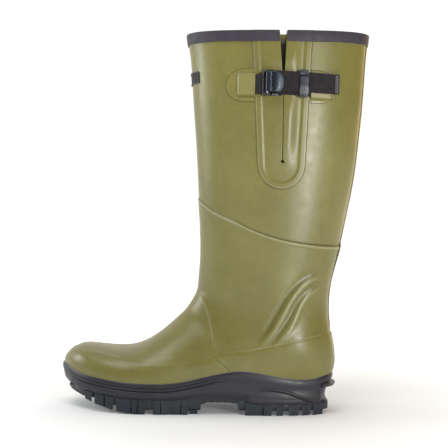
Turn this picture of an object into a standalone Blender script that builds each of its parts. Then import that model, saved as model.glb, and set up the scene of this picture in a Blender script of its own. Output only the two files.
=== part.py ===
"""Insulated pull-on rubber hunting boot, left foot.

Lengths are in millimetres and are turned into metres where a mesh is made. The toe points to -X, the
outer (lateral) side with the strap faces -Y, the inner side faces +Y, and the treads stand on z = 0.
"""
import math

import bmesh
import bpy
import numpy as np
from mathutils import Vector

MM = 0.001
GAP = 0.3                      # clearance that bonded neighbours keep from each other
ORIGIN = (0.4, -4.8, 0.0)      # the middle of the whole boot's footprint, buckle included, becomes the origin

# ---- the upper: sections from the rim down the leg, round the heel and along the foot to the toe ----
# Each section is a plane through a front point and a back point, widest somewhere between them.
# front x, front z, back x, back z, outer half width, inner half width, middle y, widest place, front and
# back squareness (2 is an ellipse)
SECTIONS = [
    (-35.6, 409.0, 162.0, 409.0, 54.0, 54.0, 0.0, 0.50, 2.15, 2.10),
    (-32.4, 388.0, 160.3, 388.0, 54.0, 53.5, 0.0, 0.50, 2.15, 2.10),
    (-28.0, 343.0, 158.2, 343.0, 53.6, 53.0, 0.0, 0.50, 2.15, 2.10),
    (-23.8, 298.0, 154.9, 298.0, 52.4, 52.0, 0.0, 0.50, 2.15, 2.10),
    (-20.3, 253.0, 150.2, 253.0, 50.2, 49.8, 0.0, 0.50, 2.15, 2.10),
    (-17.2, 208.0, 142.5, 208.0, 47.0, 46.5, 0.0, 0.50, 2.15, 2.10),
    (-15.8, 176.0, 136.0, 176.0, 44.4, 43.6, 0.0, 0.50, 2.15, 2.10),
    (-16.0, 157.0, 127.6, 133.0, 42.6, 41.6, 0.0, 0.50, 2.10, 2.15),
    (-17.0, 140.0, 129.6, 88.0, 42.0, 40.6, 0.0, 0.50, 2.05, 2.20),
    (-19.6, 124.6, 131.6, 44.0, 42.4, 40.4, 0.0, 0.52, 2.00, 2.50),
    (-25.0, 114.2, 112.0, 28.0, 43.2, 40.6, 0.0, 0.56, 2.00, 2.90),
    (-36.0, 101.2, 46.0, 26.0, 44.6, 41.6, 0.0, 0.60, 2.00, 3.30),
    (-58.0, 81.2, -18.0, 22.0, 49.0, 46.0, 0.0, 0.64, 2.05, 3.40),
    (-83.0, 67.6, -66.0, 20.0, 53.6, 50.6, 0.5, 0.66, 2.15, 3.40),
    (-110.0, 65.4, -108.0, 21.5, 50.6, 49.6, 1.5, 0.66, 2.25, 3.30),
    (-127.0, 66.6, -127.0, 25.5, 43.6, 45.4, 2.5, 0.64, 2.30, 3.10),
    (-141.0, 66.6, -142.5, 30.0, 34.0, 37.6, 3.5, 0.60, 2.25, 2.90),
    (-152.0, 61.4, -153.5, 34.5, 22.4, 26.0, 4.5, 0.56, 2.15, 2.60),
    (-160.4, 52.0, -160.4, 40.0, 8.6, 10.4, 5.5, 0.50, 2.00, 2.10),
]
TOE_TIP = (-161.6, 5.6, 45.6)
WRIST = 6                      # the section where the level sections of the leg end
RIM_Z = 409.0

SHELL_T = 2.0                  # moulded rubber
STIFFENER_T = 1.0
LINER_FROM = 4.0               # depth of the insulation's outer face under the rubber's outer face
LINER_T = 4.0
OVERLAY_T = 0.8                # bonded rubber overlays
OVERLAY_GAP = 0.9

# ---- height of the line where the upper meets the sole, from toe to heel (x, z) ----
FEATHER = [(-163, 46.4), (-154, 45.2), (-148, 42.2), (-137, 38.6), (-115, 35.6), (-95, 33.1), (-66, 31.8),
           (-38, 32.7), (-9, 39.0), (10, 43.5), (29, 46.3), (48, 45.0), (67, 41.7), (87, 38.7), (106, 38.4),
           (117, 40.5), (134, 44.4)]
# ---- raised edge that runs round the ankle, front to back (x, z) ----
ANKLE_EDGE = [(-20, 232), (-13, 224), (0, 213), (19, 203), (38, 194), (58, 189), (78, 185), (100, 182.5),
              (142, 180.5)]
# ---- top edges of the toe guard and the heel overlay (x, z) ----
TOE_GUARD_TOP = [(-165, 60), (-140, 63), (-115, 60.5), (-95, 57), (-70, 54), (-52, 53), (-20, 57), (12, 62)]
HEEL_OVERLAY_TOP = [(10, 66), (38, 69), (65, 75), (86, 80), (105, 84), (135, 87)]
GUARD_BACK_X = 8.0             # where the toe guard ends and the heel overlay begins

# ---- sole heights (x, z) ----
OUTSOLE_TOP = [(-160, 25.5), (-137, 22.5), (-110, 18.8), (-85, 16.6), (-38, 16.0), (-8, 18.5), (20, 18.5),
               (45, 13.4), (63, 12.2), (113, 12.6), (134, 13.0)]
TOE_SPRING_X = -78.0           # the tread leaves the ground here
TOE_SPRING_LEN = 74.0
TOE_SPRING_H = 19.0
TOE_SPRING_POWER = 1.42
ARCH_Z = 12.6                  # underside of the waist
LUG_H = 6.5
RIM_OUT = 1.7                  # the sole's rim stands this far outside the upper
FORE_LUGS = [(-131, -120), (-118, -103), (-99.5, -83.5), (-81.5, -66.5), (-61, -43.5), (-41, -23.5)]
HEEL_LUGS = [(38, 48.5), (50, 67.5), (72, 80.5), (84.5, 96), (98, 108), (110.5, 121)]
LUG_LONG = 17.0                # how far an edge lug reaches in from the edge
FORE_END_X = -10.0
HEEL_START_X = 30.0
SPUR_REACH = 3                 # how many points of the sole's loop the spur runs to each side

# ---- calf gusset on the outer side ----
GUSSET_X = 68.1
GUSSET_HALF = 28.5
GUSSET_BOTTOM = 239.5
SLIT_X = 69.2
SLIT_HOLE_Z = 268.0
SLIT_HOLE_R = 1.6
SLIT_W = 0.9
NOTCH_TOP_W = 7.5
NOTCH_Z = 360.0

# ---- rim binding ----
BIND_H = 11.0
BIND_T = 1.1

# ---- strap and buckle: everything lies on arcs round one upright axis inside the boot ----
STRAP_Z = 349.2
WEB_H = 22.6
WEB_T = 1.5
STRAP_AXIS = (65.0, 129.0)
STRAP_R = 183.6                # the arc that just clears the leg's outer side at the strap's height
TAIL_LIFT = 4.6
RUN_LIFT = 2.7
RUN_END_LIFT = 1.4
BUCKLE_X = (47.6, 66.8)
BUCKLE_H = 27.6
CHEEK_T = 1.6
PIN_X = 51.2
PIN_LIFT = 8.3
PIN_R = 1.0
BARREL_R = 2.0
LEVER_H = 20.4
LEVER_END_X = 67.6
KEEPER_X = (84.6, 93.6)
TAIL_END_X = 127.0

# ---- rear seam tape ----
STRIP_END_Z = 92.0

# ---- patches and label ----
PATCH_FRONT = (8.0, 38.4)
PATCH_REAR = (97.3, 125.4)
PATCH_H = 35.0
LABEL_Z = (352.0, 365.0)
LABEL_HALF_W = 20.0

AROUND = 28
QUARTER = AROUND // 4
FOOT_ROWS = 13
COLOURS = {
    "rubber": ((0.235, 0.225, 0.080), 0.55, 0.0),
    "binding": ((0.075, 0.065, 0.085), 0.6, 0.0),
    "webbing": ((0.045, 0.036, 0.042), 0.9, 0.0),
    "midsole": ((0.050, 0.042, 0.052), 0.6, 0.0),
    "outsole": ((0.026, 0.036, 0.046), 0.7, 0.0),
    "buckle": ((0.014, 0.018, 0.028), 0.3, 0.0),
    "steel": ((0.55, 0.56, 0.58), 0.3, 1.0),
    "neoprene": ((0.030, 0.032, 0.034), 0.95, 0.0),
    "board": ((0.42, 0.34, 0.24), 0.9, 0.0),
    "foil": ((0.72, 0.73, 0.75), 0.35, 0.8),
    "footbed": ((0.10, 0.11, 0.12), 0.95, 0.0),
}


# ---------------------------------------------------------------- curves
def spline(knots):
    """A smooth curve through (where, value) knots, straight beyond its two ends."""
    xs, ys = np.array(knots, float).T
    h = np.diff(xs)
    rise = np.diff(ys) / h
    n = len(xs)
    matrix = np.eye(n)
    right = np.zeros(n)
    for i in range(1, n - 1):
        matrix[i, i - 1:i + 2] = h[i - 1], 2 * (h[i - 1] + h[i]), h[i]
        right[i] = 6 * (rise[i] - rise[i - 1])
    bend = np.linalg.solve(matrix, right)

    def at(x):
        x = np.asarray(x, float)
        i = np.clip(np.searchsorted(xs, x) - 1, 0, n - 2)
        a = np.clip((xs[i + 1] - x) / h[i], 0, 1)
        b = 1 - a
        curve = a * ys[i] + b * ys[i + 1]
        curve += ((a**3 - a) * bend[i] + (b**3 - b) * bend[i + 1]) * h[i]**2 / 6
        before = np.minimum(x - xs[0], 0) * rise[0]
        after = np.maximum(x - xs[-1], 0) * rise[-1]
        return curve + before + after
    return at


feather = spline(FEATHER)
ankle_edge = spline(ANKLE_EDGE)
toe_guard_top = spline(TOE_GUARD_TOP)
heel_overlay_top = spline(HEEL_OVERLAY_TOP)
outsole_top = spline(OUTSOLE_TOP)


def tread(x):
    """Height of the treads' underside: flat on the ground, rising towards the toe."""
    ahead = np.maximum(TOE_SPRING_X - np.asarray(x, float), 0) / TOE_SPRING_LEN
    return TOE_SPRING_H * ahead**TOE_SPRING_POWER


# ---------------------------------------------------------------- the upper's surface
def section_travel():
    """The distance travelled down the boot to each section, the mean of its front's and its back's."""
    rows = np.array(SECTIONS)
    front = np.hypot(np.diff(rows[:, 0]), np.diff(rows[:, 1]))
    back = np.hypot(np.diff(rows[:, 2]), np.diff(rows[:, 3]))
    return np.concatenate([[0], np.cumsum((front + back) / 2)])


TRAVEL = section_travel()
COLUMNS = [spline(list(zip(TRAVEL, column))) for column in np.array(SECTIONS).T]
WRIST_S = TRAVEL[WRIST]
END_S = TRAVEL[-1]


def section_at(s):
    return [column(s) for column in COLUMNS]


def upper(s, turn):
    """A point of the upper: s down the boot, turn from 0 at the front over the outer side to pi behind."""
    fx, fz, bx, bz, outer, inner, middle, widest, front_n, back_n = section_at(s)
    c, w = np.cos(turn), np.sin(turn)
    n = np.where(c >= 0, front_n, back_n)
    r = (np.abs(c)**n + np.abs(w)**n)**(-1 / n)
    p = r * c
    along = widest - p * np.where(p > 0, widest, 1 - widest)
    half = np.where(w >= 0, outer, inner)
    x = fx + along * (bx - fx)
    z = fz + along * (bz - fz)
    y = middle - r * w * half
    return np.stack(np.broadcast_arrays(x, y, z), axis=-1)


def upper_normal(s, turn):
    """The outward direction of the upper's surface."""
    ds, dt = 0.5, 0.01
    low, high = np.maximum(s - ds, 0), np.minimum(s + ds, END_S)
    down = upper(high, turn) - upper(low, turn)
    round_ = upper(s, turn + dt) - upper(s, turn - dt)
    normal = np.cross(down, round_)
    return normal / np.linalg.norm(normal, axis=-1, keepdims=True)


def skin(s, turn, lift):
    """The upper's surface moved out by lift."""
    s, turn = np.broadcast_arrays(np.asarray(s, float), np.asarray(turn, float))
    return upper(s, turn) + upper_normal(s, turn) * np.asarray(lift)[..., None]


S_TABLE = np.linspace(0, WRIST_S, 400)
Z_TABLE = COLUMNS[1](S_TABLE)


def leg_s(z):
    """How far down the boot the level section at height z is."""
    return np.interp(-np.asarray(z, float), -Z_TABLE, S_TABLE)


def leg_turn(x, z):
    """The turn at which the leg's outer side has this x."""
    fx, _, bx, _, _, _, _, widest, front_n, back_n = section_at(leg_s(z))
    along = (x - fx) / (bx - fx)
    p = np.where(along < widest, 1 - along / widest, -(along - widest) / (1 - widest))
    n = np.where(p >= 0, front_n, back_n)
    w = (1 - np.minimum(np.abs(p), 1)**n)**(1 / n)
    return np.arctan2(w, p)


def side(x, z, lift):
    """The leg's outer side at x and z, moved out by lift."""
    x, z = np.broadcast_arrays(np.asarray(x, float), np.asarray(z, float))
    return skin(leg_s(z), leg_turn(x, z), lift)


def edge_turn(s, line, sign, lift=0.0):
    """The turn at which the section at s goes below the line z = line(x), on one side of the boot."""
    turns = np.linspace(0.02, math.pi, 121)
    points = skin(s, sign * turns, lift)
    above = points[:, 2] - line(points[:, 0])
    if above[0] <= 0:
        return 0.0
    if above[-1] > 0:
        return math.pi
    i = int(np.argmax(above <= 0))
    return turns[i - 1] + (turns[i] - turns[i - 1]) * above[i - 1] / (above[i - 1] - above[i])


def even_loop(points, count):
    """The closed line through the points, drawn again with evenly spaced points."""
    points = np.vstack([points, points[:1]])
    length = np.concatenate([[0], np.cumsum(np.linalg.norm(np.diff(points, axis=0), axis=1))])
    where = np.linspace(0, length[-1], count, endpoint=False)
    return np.stack([np.interp(where, length, points[:, k]) for k in range(3)], axis=-1)


def waterline(line, lift, count):
    """The loop where the upper, moved out by lift, crosses z = line(x), from the heel over the outer side."""
    sides = []
    for sign in (1, -1):
        points = []
        for s in np.linspace(TRAVEL[8], END_S, 260):
            turn = edge_turn(s, line, sign, lift)
            if 0 < turn < math.pi:
                points.append(skin(s, sign * turn, lift))
        sides.append(points)
    on_tip = abs(TOE_TIP[2] - line(TOE_TIP[0])) < 4
    tip = [np.array(TOE_TIP) - (lift, 0, 0)] if on_tip else []
    found = np.array(sides[0] + tip + sides[1][::-1])
    behind = (found[0] + found[-1]) / 2
    loop = even_loop(np.vstack([behind, found]), count)
    return (np.roll(loop, 1, axis=0) + 2 * loop + np.roll(loop, -1, axis=0)) / 4


def outwards(loop):
    """The level outward direction at each point of a loop that starts at the heel."""
    ahead = np.roll(loop, -1, axis=0) - np.roll(loop, 1, axis=0)
    normal = np.stack([ahead[:, 1], -ahead[:, 0], np.zeros(len(loop))], axis=-1)
    normal /= np.linalg.norm(normal, axis=1, keepdims=True)
    return normal if normal[0] @ (1, 0, 0) > 0 else -normal


def strap_point(x, lift, z):
    """A point on the strap's arc, the given lift off the leg."""
    radius = STRAP_R + lift
    swing = math.asin((x - STRAP_AXIS[0]) / radius)
    return (STRAP_AXIS[0] + radius * math.sin(swing), STRAP_AXIS[1] - radius * math.cos(swing), z)


# ---------------------------------------------------------------- Blender helpers
def place_origin():
    """Hangs every piece on an empty that brings the middle of the footprint to the origin."""
    frame = bpy.data.objects.new("boot_frame", None)
    frame.location = -Vector(ORIGIN) * MM
    PARTS.objects.link(frame)
    for thing in list(PARTS.objects) + list(CUTTERS.objects):
        if thing is not frame and thing.parent is None:
            thing.parent = frame


def hang_on_strap_axis(*things):
    """An empty on the upright axis that the tail and the keeper slide round carries them."""
    axis = bpy.data.objects.new("strap_axis", None)
    axis.location = Vector((*STRAP_AXIS, STRAP_Z)) * MM
    PARTS.objects.link(axis)
    for thing in things:
        thing.parent = axis
        thing.location = -axis.location


def clear_scene():
    for thing in list(bpy.data.objects):
        bpy.data.objects.remove(thing)


def new_collection(name):
    made = bpy.data.collections.new(name)
    bpy.context.scene.collection.children.link(made)
    return made


def material(name):
    colour, roughness, metallic = COLOURS[name]
    made = bpy.data.materials.get(name)
    if made is None:
        made = bpy.data.materials.new(name)
        made.use_nodes = True
        shader = made.node_tree.nodes["Principled BSDF"]
        shader.inputs["Base Color"].default_value = (*colour, 1)
        shader.inputs["Roughness"].default_value = roughness
        shader.inputs["Metallic"].default_value = metallic
    return made


def add(name, vertices, faces, slot, smooth=True, into=None):
    """A mesh object from points in millimetres."""
    mesh = bpy.data.meshes.new(name)
    mesh.from_pydata([Vector(v) * MM for v in vertices], [], faces)
    tidy = bmesh.new()
    tidy.from_mesh(mesh)
    bmesh.ops.recalc_face_normals(tidy, faces=tidy.faces)
    tidy.to_mesh(mesh)
    tidy.free()
    if smooth:
        mesh.shade_smooth()
        mesh.set_sharp_from_angle(angle=math.radians(40))
    thing = bpy.data.objects.new(name, mesh)
    (into or PARTS).objects.link(thing)
    if slot:
        mesh.materials.append(material(slot))
    return thing


def grid_faces(rows, columns, wrap):
    """Quads of a grid of points, joined round the columns if it wraps."""
    faces = []
    for i in range(rows - 1):
        for j in range(columns if wrap else columns - 1):
            k = (j + 1) % columns
            faces.append((i * columns + j, i * columns + k, (i + 1) * columns + k, (i + 1) * columns + j))
    return faces


def sheet(name, grid, slot, thickness, wrap=False, tip=None):
    """An open surface given thickness inwards; a tip point closes its last row."""
    rows, columns = grid.shape[:2]
    vertices = [tuple(p) for p in grid.reshape(-1, 3)]
    faces = grid_faces(rows, columns, wrap)
    if tip is not None:
        last = (rows - 1) * columns
        vertices.append(tuple(tip))
        faces += [(last + j, last + (j + 1) % columns, len(vertices) - 1) for j in range(columns)]
    thing = add(name, vertices, faces, slot)
    face_outwards(thing, grid, thickness)
    return thing


def face_outwards(thing, grid, thickness):
    """Adds Solidify so that the thickness goes towards the middle of the boot."""
    mesh = thing.data
    facing = mesh.polygons[0].normal.dot(Vector(grid[0, 1] - middle_of(grid[0, 1])))
    solid = thing.modifiers.new("Thickness", "SOLIDIFY")
    solid.thickness = thickness * MM
    solid.offset = -1 if facing > 0 else 1
    solid.use_even_offset = True


def middle_of(point):
    """A point inside the boot to measure outwards from."""
    return np.array((min(point[0], 62.0) if point[2] < 100 else 62.0, 0.0, min(point[2], 409.0)))


def ring_solid(name, rings, slot, into=None):
    """A closed solid from equal rings, its two ends closed by strips across."""
    count = len(rings[0])
    vertices = [tuple(p) for ring in rings for p in ring]
    faces = grid_faces(len(rings), count, True)
    for start in (0, (len(rings) - 1) * count):
        cap = [(start, start + 1, start + count - 1)]
        for j in range(1, count // 2 - 1):
            cap.append((start + j, start + j + 1, start + count - j - 1, start + count - j))
        low = count // 2 - 1
        cap.append((start + low, start + low + 1, start + count - low))
        faces += cap
    return add(name, vertices, faces, slot, into=into)


def bar(sections):
    """Points and faces of a solid that runs through equal outlines, closed at both ends."""
    count = len(sections[0])
    vertices = [point for section in sections for point in section]
    faces = grid_faces(len(sections), count, True)
    faces += [tuple(range(count)), tuple(range(len(vertices) - count, len(vertices)))]
    return vertices, faces


def plank(edges, x_from, x_to, low, high, steps):
    """Points and faces of a board with the given edges; low and high are heights at x."""
    sections = []
    for x in np.linspace(x_from, x_to, steps):
        y0, y1 = edges(x)
        z0, z1 = float(low(x)), float(high(x))
        sections.append([(x, y0, z0), (x, y1, z0), (x, y1, z1), (x, y0, z1)])
    return bar(sections)


def cylinder(name, base, radius, height, slot, sides=16, along="z", into=None):
    """A cylinder that starts at base and runs along Z, or along Y."""
    mesh = bpy.data.meshes.new(name)
    shape = bmesh.new()
    bmesh.ops.create_cone(shape, cap_ends=True, segments=sides, radius1=radius * MM, radius2=radius * MM,
                          depth=height * MM)
    bmesh.ops.translate(shape, vec=(0, 0, height / 2 * MM), verts=shape.verts)
    shape.to_mesh(mesh)
    shape.free()
    thing = bpy.data.objects.new(name, mesh)
    thing.location = Vector(base) * MM
    if along == "y":
        thing.rotation_euler = (-math.pi / 2, 0, 0)
    (into or PARTS).objects.link(thing)
    mesh.shade_smooth()
    mesh.set_sharp_from_angle(angle=math.radians(40))
    if slot:
        mesh.materials.append(material(slot))
    return thing


def as_cutter(thing):
    thing.hide_render = True
    thing.display_type = "WIRE"
    return thing


def boolean(target, other, operation):
    step = target.modifiers.new(operation.title(), "BOOLEAN")
    step.operation = operation
    step.solver = "EXACT"
    step.object = as_cutter(other)


# ---------------------------------------------------------------- the upper
def turns(count=AROUND):
    return np.arange(count) * 2 * math.pi / count


def edge_s(turn):
    """Where each column of the leg meets the raised edge round the ankle."""
    s = np.full(len(turn), leg_s(200.0))
    for _ in range(12):
        s = leg_s(ankle_edge(upper(s, turn)[:, 0]))
    return s


def foot_travel():
    """The rows that every layer of the foot shares."""
    return np.interp(np.linspace(8, len(SECTIONS) - 1, FOOT_ROWS), range(len(SECTIONS)), TRAVEL)


def rows_between(first, last, count):
    return first + (last - first) * np.linspace(0, 1, count)[:, None]


def foot_rows(first):
    """Rows from the given row down to the toe, the last ones in step on every layer."""
    low = rows_between(first, np.full(AROUND, TRAVEL[8]), 4)
    foot = foot_travel()
    return np.vstack([low, np.repeat(foot[1:, None], AROUND, axis=1)])


def make_shells():
    turn = turns()
    edge = edge_s(turn)
    leg = rows_between(leg_s(RIM_Z - 1.5), edge - GAP, 8)
    shaft = sheet("shaft_shell", skin(leg, turn, 0), "rubber", SHELL_T, wrap=True)
    cut_slit(shaft, 12)
    foot = skin(foot_rows(edge + GAP), turn, 0)
    sheet("foot_shell", foot, "rubber", SHELL_T, wrap=True, tip=TOE_TIP)


def make_liners():
    turn = turns()
    split = np.full(AROUND, WRIST_S)
    leg = rows_between(leg_s(RIM_Z - 3.2), split - GAP, 6)
    sheet("leg_liner", skin(leg, turn, -LINER_FROM), "neoprene", LINER_T, wrap=True)
    foot = skin(foot_rows(split + GAP), turn, -LINER_FROM)
    tip = np.array(TOE_TIP) + (LINER_FROM, 0, 0)
    sheet("foot_liner", foot, "neoprene", LINER_T, wrap=True, tip=tip)


def make_stiffeners():
    """The toe puff and the heel counter, between the rubber and the insulation."""
    depth = SHELL_T + GAP
    toe_s = foot_travel()[-4:]
    toe_turn = turns()[np.arange(-QUARTER, QUARTER + 1) % AROUND]
    sheet("toe_puff", skin(toe_s[:, None], toe_turn, -depth), "board", STIFFENER_T)
    heel_s = foot_travel()[:3]
    heel_turn = turns()[np.arange(-QUARTER, QUARTER + 1) + AROUND // 2]
    sheet("heel_counter", skin(heel_s[:, None], heel_turn, -depth), "board", STIFFENER_T)


def make_overlays():
    lift = OVERLAY_GAP + OVERLAY_T
    heel_line = waterline(heel_overlay_top, 0, 400)
    sole_line = waterline(lambda x: feather(x) + 1.6 + 0.4 * np.maximum(-150 - x, 0), 0, 400)
    wrap_overlay("heel_overlay", heel_line, sole_line, lift, lambda p: p[0] > GUARD_BACK_X + 1.0, 33)
    toe_line = waterline(toe_guard_top, 0, 400)
    wrap_overlay("toe_guard", toe_line, sole_line, lift, lambda p: p[0] < GUARD_BACK_X - 1.0, 49)


def wrap_overlay(name, top_line, low_line, lift, keep, columns):
    """An overlay that wraps an end of the foot between two lines round it."""
    ends = []
    for line in (top_line, low_line):
        kept = np.array([keep(p) for p in line])
        start = int(np.argmax(kept & ~np.roll(kept, 1)))
        run = np.roll(line, -start, axis=0)[:int(kept.sum())]
        length = np.concatenate([[0], np.cumsum(np.linalg.norm(np.diff(run, axis=0), axis=1))])
        where = np.linspace(0, length[-1], columns)
        ends.append(np.stack([np.interp(where, length, run[:, k]) for k in range(3)], axis=-1))
    rows = []
    for mix in np.linspace(0, 1, 5):
        guess = ends[0] * (1 - mix) + ends[1] * mix
        rows.append(np.array([on_skin(p, lift) for p in guess]))
    return sheet(name, np.array(rows), "rubber", OVERLAY_T)


FINE_S = np.linspace(TRAVEL[7], END_S, 260)
FINE_TURN = np.linspace(0, 2 * math.pi, 180, endpoint=False)
FINE = upper(FINE_S[:, None], FINE_TURN[None, :])


def on_skin(point, lift):
    """The nearest place on the upper to a point, moved out by lift."""
    away = np.linalg.norm(FINE - point, axis=-1)
    i, j = np.unravel_index(int(np.argmin(away)), away.shape)
    s, turn = FINE_S[i], FINE_TURN[j]
    for _ in range(4):
        here = upper(s, turn)
        by_s = (upper(min(s + 0.5, END_S), turn) - upper(s - 0.5, turn)) / (min(s + 0.5, END_S) - s + 0.5)
        by_turn = (upper(s, turn + 0.01) - upper(s, turn - 0.01)) / 0.02
        step = np.linalg.lstsq(np.stack([by_s, by_turn], axis=1), point - here, rcond=None)[0]
        s = float(np.clip(s + step[0], TRAVEL[7], END_S))
        turn = float(turn + step[1])
    return skin(s, turn, lift)


# ---------------------------------------------------------------- gusset, binding, tape, label
def notch_half(z):
    """Half the width of the slit at height z: a hairline that opens into a notch at the rim."""
    open_ = np.clip((z - NOTCH_Z) / (RIM_Z - NOTCH_Z), 0, 1)
    return SLIT_W / 2 + (NOTCH_TOP_W - SLIT_W) / 2 * open_


def cut_slit(target, depth):
    """Cuts the slit, its notch and the round hole at its foot through the outer side."""
    top = RIM_Z + 5
    outline = [(-SLIT_W / 2, SLIT_HOLE_Z), (SLIT_W / 2, SLIT_HOLE_Z), (SLIT_W / 2, NOTCH_Z),
               (notch_half(top), top), (-notch_half(top), top), (-SLIT_W / 2, NOTCH_Z)]
    near, far = -70.0, -70.0 + depth + 14
    vertices = [(SLIT_X + x, y, z) for y in (near, far) for x, z in outline]
    count = len(outline)
    faces = [tuple(range(count)), tuple(range(count, 2 * count))]
    faces += [(i, (i + 1) % count, (i + 1) % count + count, i + count) for i in range(count)]
    name = target.name + "_slit"
    boolean(target, add(name, vertices, faces, None, smooth=False, into=CUTTERS), "DIFFERENCE")
    hole = cylinder(name + "_hole", (SLIT_X, near, SLIT_HOLE_Z), SLIT_HOLE_R, far - near, None, along="y",
                    into=CUTTERS)
    boolean(target, hole, "DIFFERENCE")


def make_gusset():
    """The U-shaped panel, and the folded sheet behind the slit that lets the calf widen."""
    rows = []
    top = RIM_Z - BIND_H - 1.5
    bend = GUSSET_HALF * 1.15
    for z in np.concatenate([GUSSET_BOTTOM + bend * (1 - np.cos(np.linspace(0.16, math.pi / 2, 8))),
                             np.linspace(GUSSET_BOTTOM + bend, top, 5)[1:]]):
        rise = min((z - GUSSET_BOTTOM) / bend, 1)
        half = GUSSET_HALF * math.sqrt(1 - (1 - rise)**2)
        rows.append(side(GUSSET_X + half * np.linspace(-1, 1, 13), z, GAP + OVERLAY_T))
    panel = sheet("gusset_panel", np.array(rows[::-1]), "rubber", OVERLAY_T)
    cut_slit(panel, 6)
    across = np.linspace(-20, 20, 9)
    z = np.linspace(RIM_Z - 2.5, SLIT_HOLE_Z - 9, 5)
    fold = side(SLIT_X + across[None, :], z[:, None], -(SHELL_T + GAP + 0.2))
    sheet("gusset_fold", fold, "rubber", 1.1)


def make_binding():
    """A folded rubber strip over the edges of the shell and the liner, open at the notch."""
    outside = GAP + BIND_T
    inside = -(LINER_FROM + LINER_T + 2 * GAP + BIND_T)
    low, high = RIM_Z - BIND_H, RIM_Z + 1.0
    turn_open = [leg_turn(SLIT_X + d, RIM_Z) for d in (-NOTCH_TOP_W / 2 - 0.4, NOTCH_TOP_W / 2 + 0.4)]
    shared = np.concatenate([turns(), turns() + 2 * math.pi])
    inside_open = (shared > turn_open[1] + 0.03) & (shared < turn_open[0] + 2 * math.pi - 0.03)
    turn = np.concatenate([turn_open[1:], shared[inside_open], [turn_open[0] + 2 * math.pi]])
    profile = [(GAP, low), (outside, low), (outside, high - 1.0), (outside - 1.2, high), (inside + 1.2, high),
               (inside, high - 1.0), (inside, low), (inside + BIND_T, low),
               (inside + BIND_T, RIM_Z - 1.5 + GAP), (GAP, RIM_Z - 1.5 + GAP)]
    vertices = []
    for lift, z in profile:
        flat = skin(leg_s(min(z, RIM_Z)), turn, lift)
        flat[:, 2] = z
        vertices += [tuple(p) for p in flat]
    count, along = len(profile), len(turn)
    faces = []
    for i in range(count):
        for j in range(along - 1):
            k = (i + 1) % count
            faces.append((i * along + j, i * along + j + 1, k * along + j + 1, k * along + j))
    faces.append(tuple(i * along for i in range(count)))
    faces.append(tuple(i * along + along - 1 for i in range(count)))
    add("top_binding", vertices, faces, "binding")


def make_back_strip():
    """The tape over the rear seam, from the binding to the heel overlay."""
    lift = OVERLAY_GAP + 0.5 + OVERLAY_T
    heel = np.linspace(TRAVEL[7], TRAVEL[10], 60)
    low_s = float(np.interp(-STRIP_END_Z, -COLUMNS[3](heel), heel))
    s = np.concatenate([[leg_s(RIM_Z - BIND_H - 1)], np.linspace(leg_s(380), low_s, 12)])
    turn = math.pi + np.linspace(-1, 1, 5) * 0.26
    sheet("back_strip", skin(s[:, None], turn, lift), "rubber", OVERLAY_T)


def make_label():
    z = np.linspace(LABEL_Z[1], LABEL_Z[0], 3)
    half = math.asin(LABEL_HALF_W / 54)
    turn = np.linspace(-half, half, 13)
    sheet("front_label", skin(leg_s(z)[:, None], turn, OVERLAY_GAP + 0.9), "binding", 0.9)


# ---------------------------------------------------------------- strap and buckle
def ribbon(name, x_from, x_to, lift, middle, steps):
    """A strip of webbing along the strap's arc; lift and middle height are functions of x."""
    grid = []
    for x in np.linspace(x_from, x_to, steps):
        ends = (middle(x) - WEB_H / 2, middle(x) + WEB_H / 2)
        grid.append([strap_point(x, lift(x) + WEB_T, z) for z in ends])
    return sheet(name, np.array(grid), "webbing", WEB_T)


def run_z(x):
    """Height of the fixed webbing's middle: it runs slightly down to the rear."""
    return STRAP_Z - 0.5 - 2.0 * min(max((x - BUCKLE_X[1]) / 30.0, 0), 1)


def tail_z(x):
    """Height of the tail's middle: it lies slightly higher than the run beneath it."""
    return STRAP_Z + 0.5 + 0.7 * min(max((x - BUCKLE_X[1]) / 30.0, 0), 1)


def run_lift(x):
    """The webbing lies high through the buckle and the keeper, and low under the rear patch."""
    drop = np.clip((x - 94.8) / 2.4, 0, 1)
    drop = drop * drop * (3 - 2 * drop)
    return RUN_LIFT + (RUN_END_LIFT - RUN_LIFT) * drop


def tab_lift(x):
    rise = np.clip((x - 37.0) / 6.0, 0, 1)
    rise = rise * rise * (3 - 2 * rise)
    return RUN_END_LIFT + (RUN_LIFT - RUN_END_LIFT) * rise


def patch(name, x_range, web_range, flat_side, web_z):
    """A rubber patch with one round side, swelling over the webbing's end that it covers."""
    low, high = STRAP_Z - PATCH_H / 2, STRAP_Z + PATCH_H / 2
    x = np.linspace(x_range[0], x_range[1], 17)
    grid = []
    for v in np.linspace(-1, 1, 15):
        row = []
        for u in x:
            from_flat = abs(u - flat_side) / (x_range[1] - x_range[0])
            half = (PATCH_H / 2) * max(1 - max(from_flat - 0.25, 0)**2.4 / 0.75**2.4, 0.09)**0.5
            z = STRAP_Z + v * half
            over = patch_rise(u, z - web_z, web_range)
            base = side(u, z, OVERLAY_GAP + OVERLAY_T)
            arc = np.array(strap_point(u, RUN_END_LIFT + WEB_T + GAP + 0.25 + OVERLAY_T, z))
            row.append(base * (1 - over) + arc * over)
        grid.append(row)
    return sheet(name, np.array(grid), "rubber", OVERLAY_T)


def patch_rise(x, off, web_range):
    """1 over the webbing's end, 0 away from it, with a soft edge; off is the height off its middle."""
    past_x = max(web_range[0] - x, x - web_range[1], 0)
    past_z = max(abs(off) - WEB_H / 2 - 1.6, 0)
    away = min(math.hypot(past_x, past_z) / 2.4, 1)
    return 1 - away * away * (3 - 2 * away)


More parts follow.
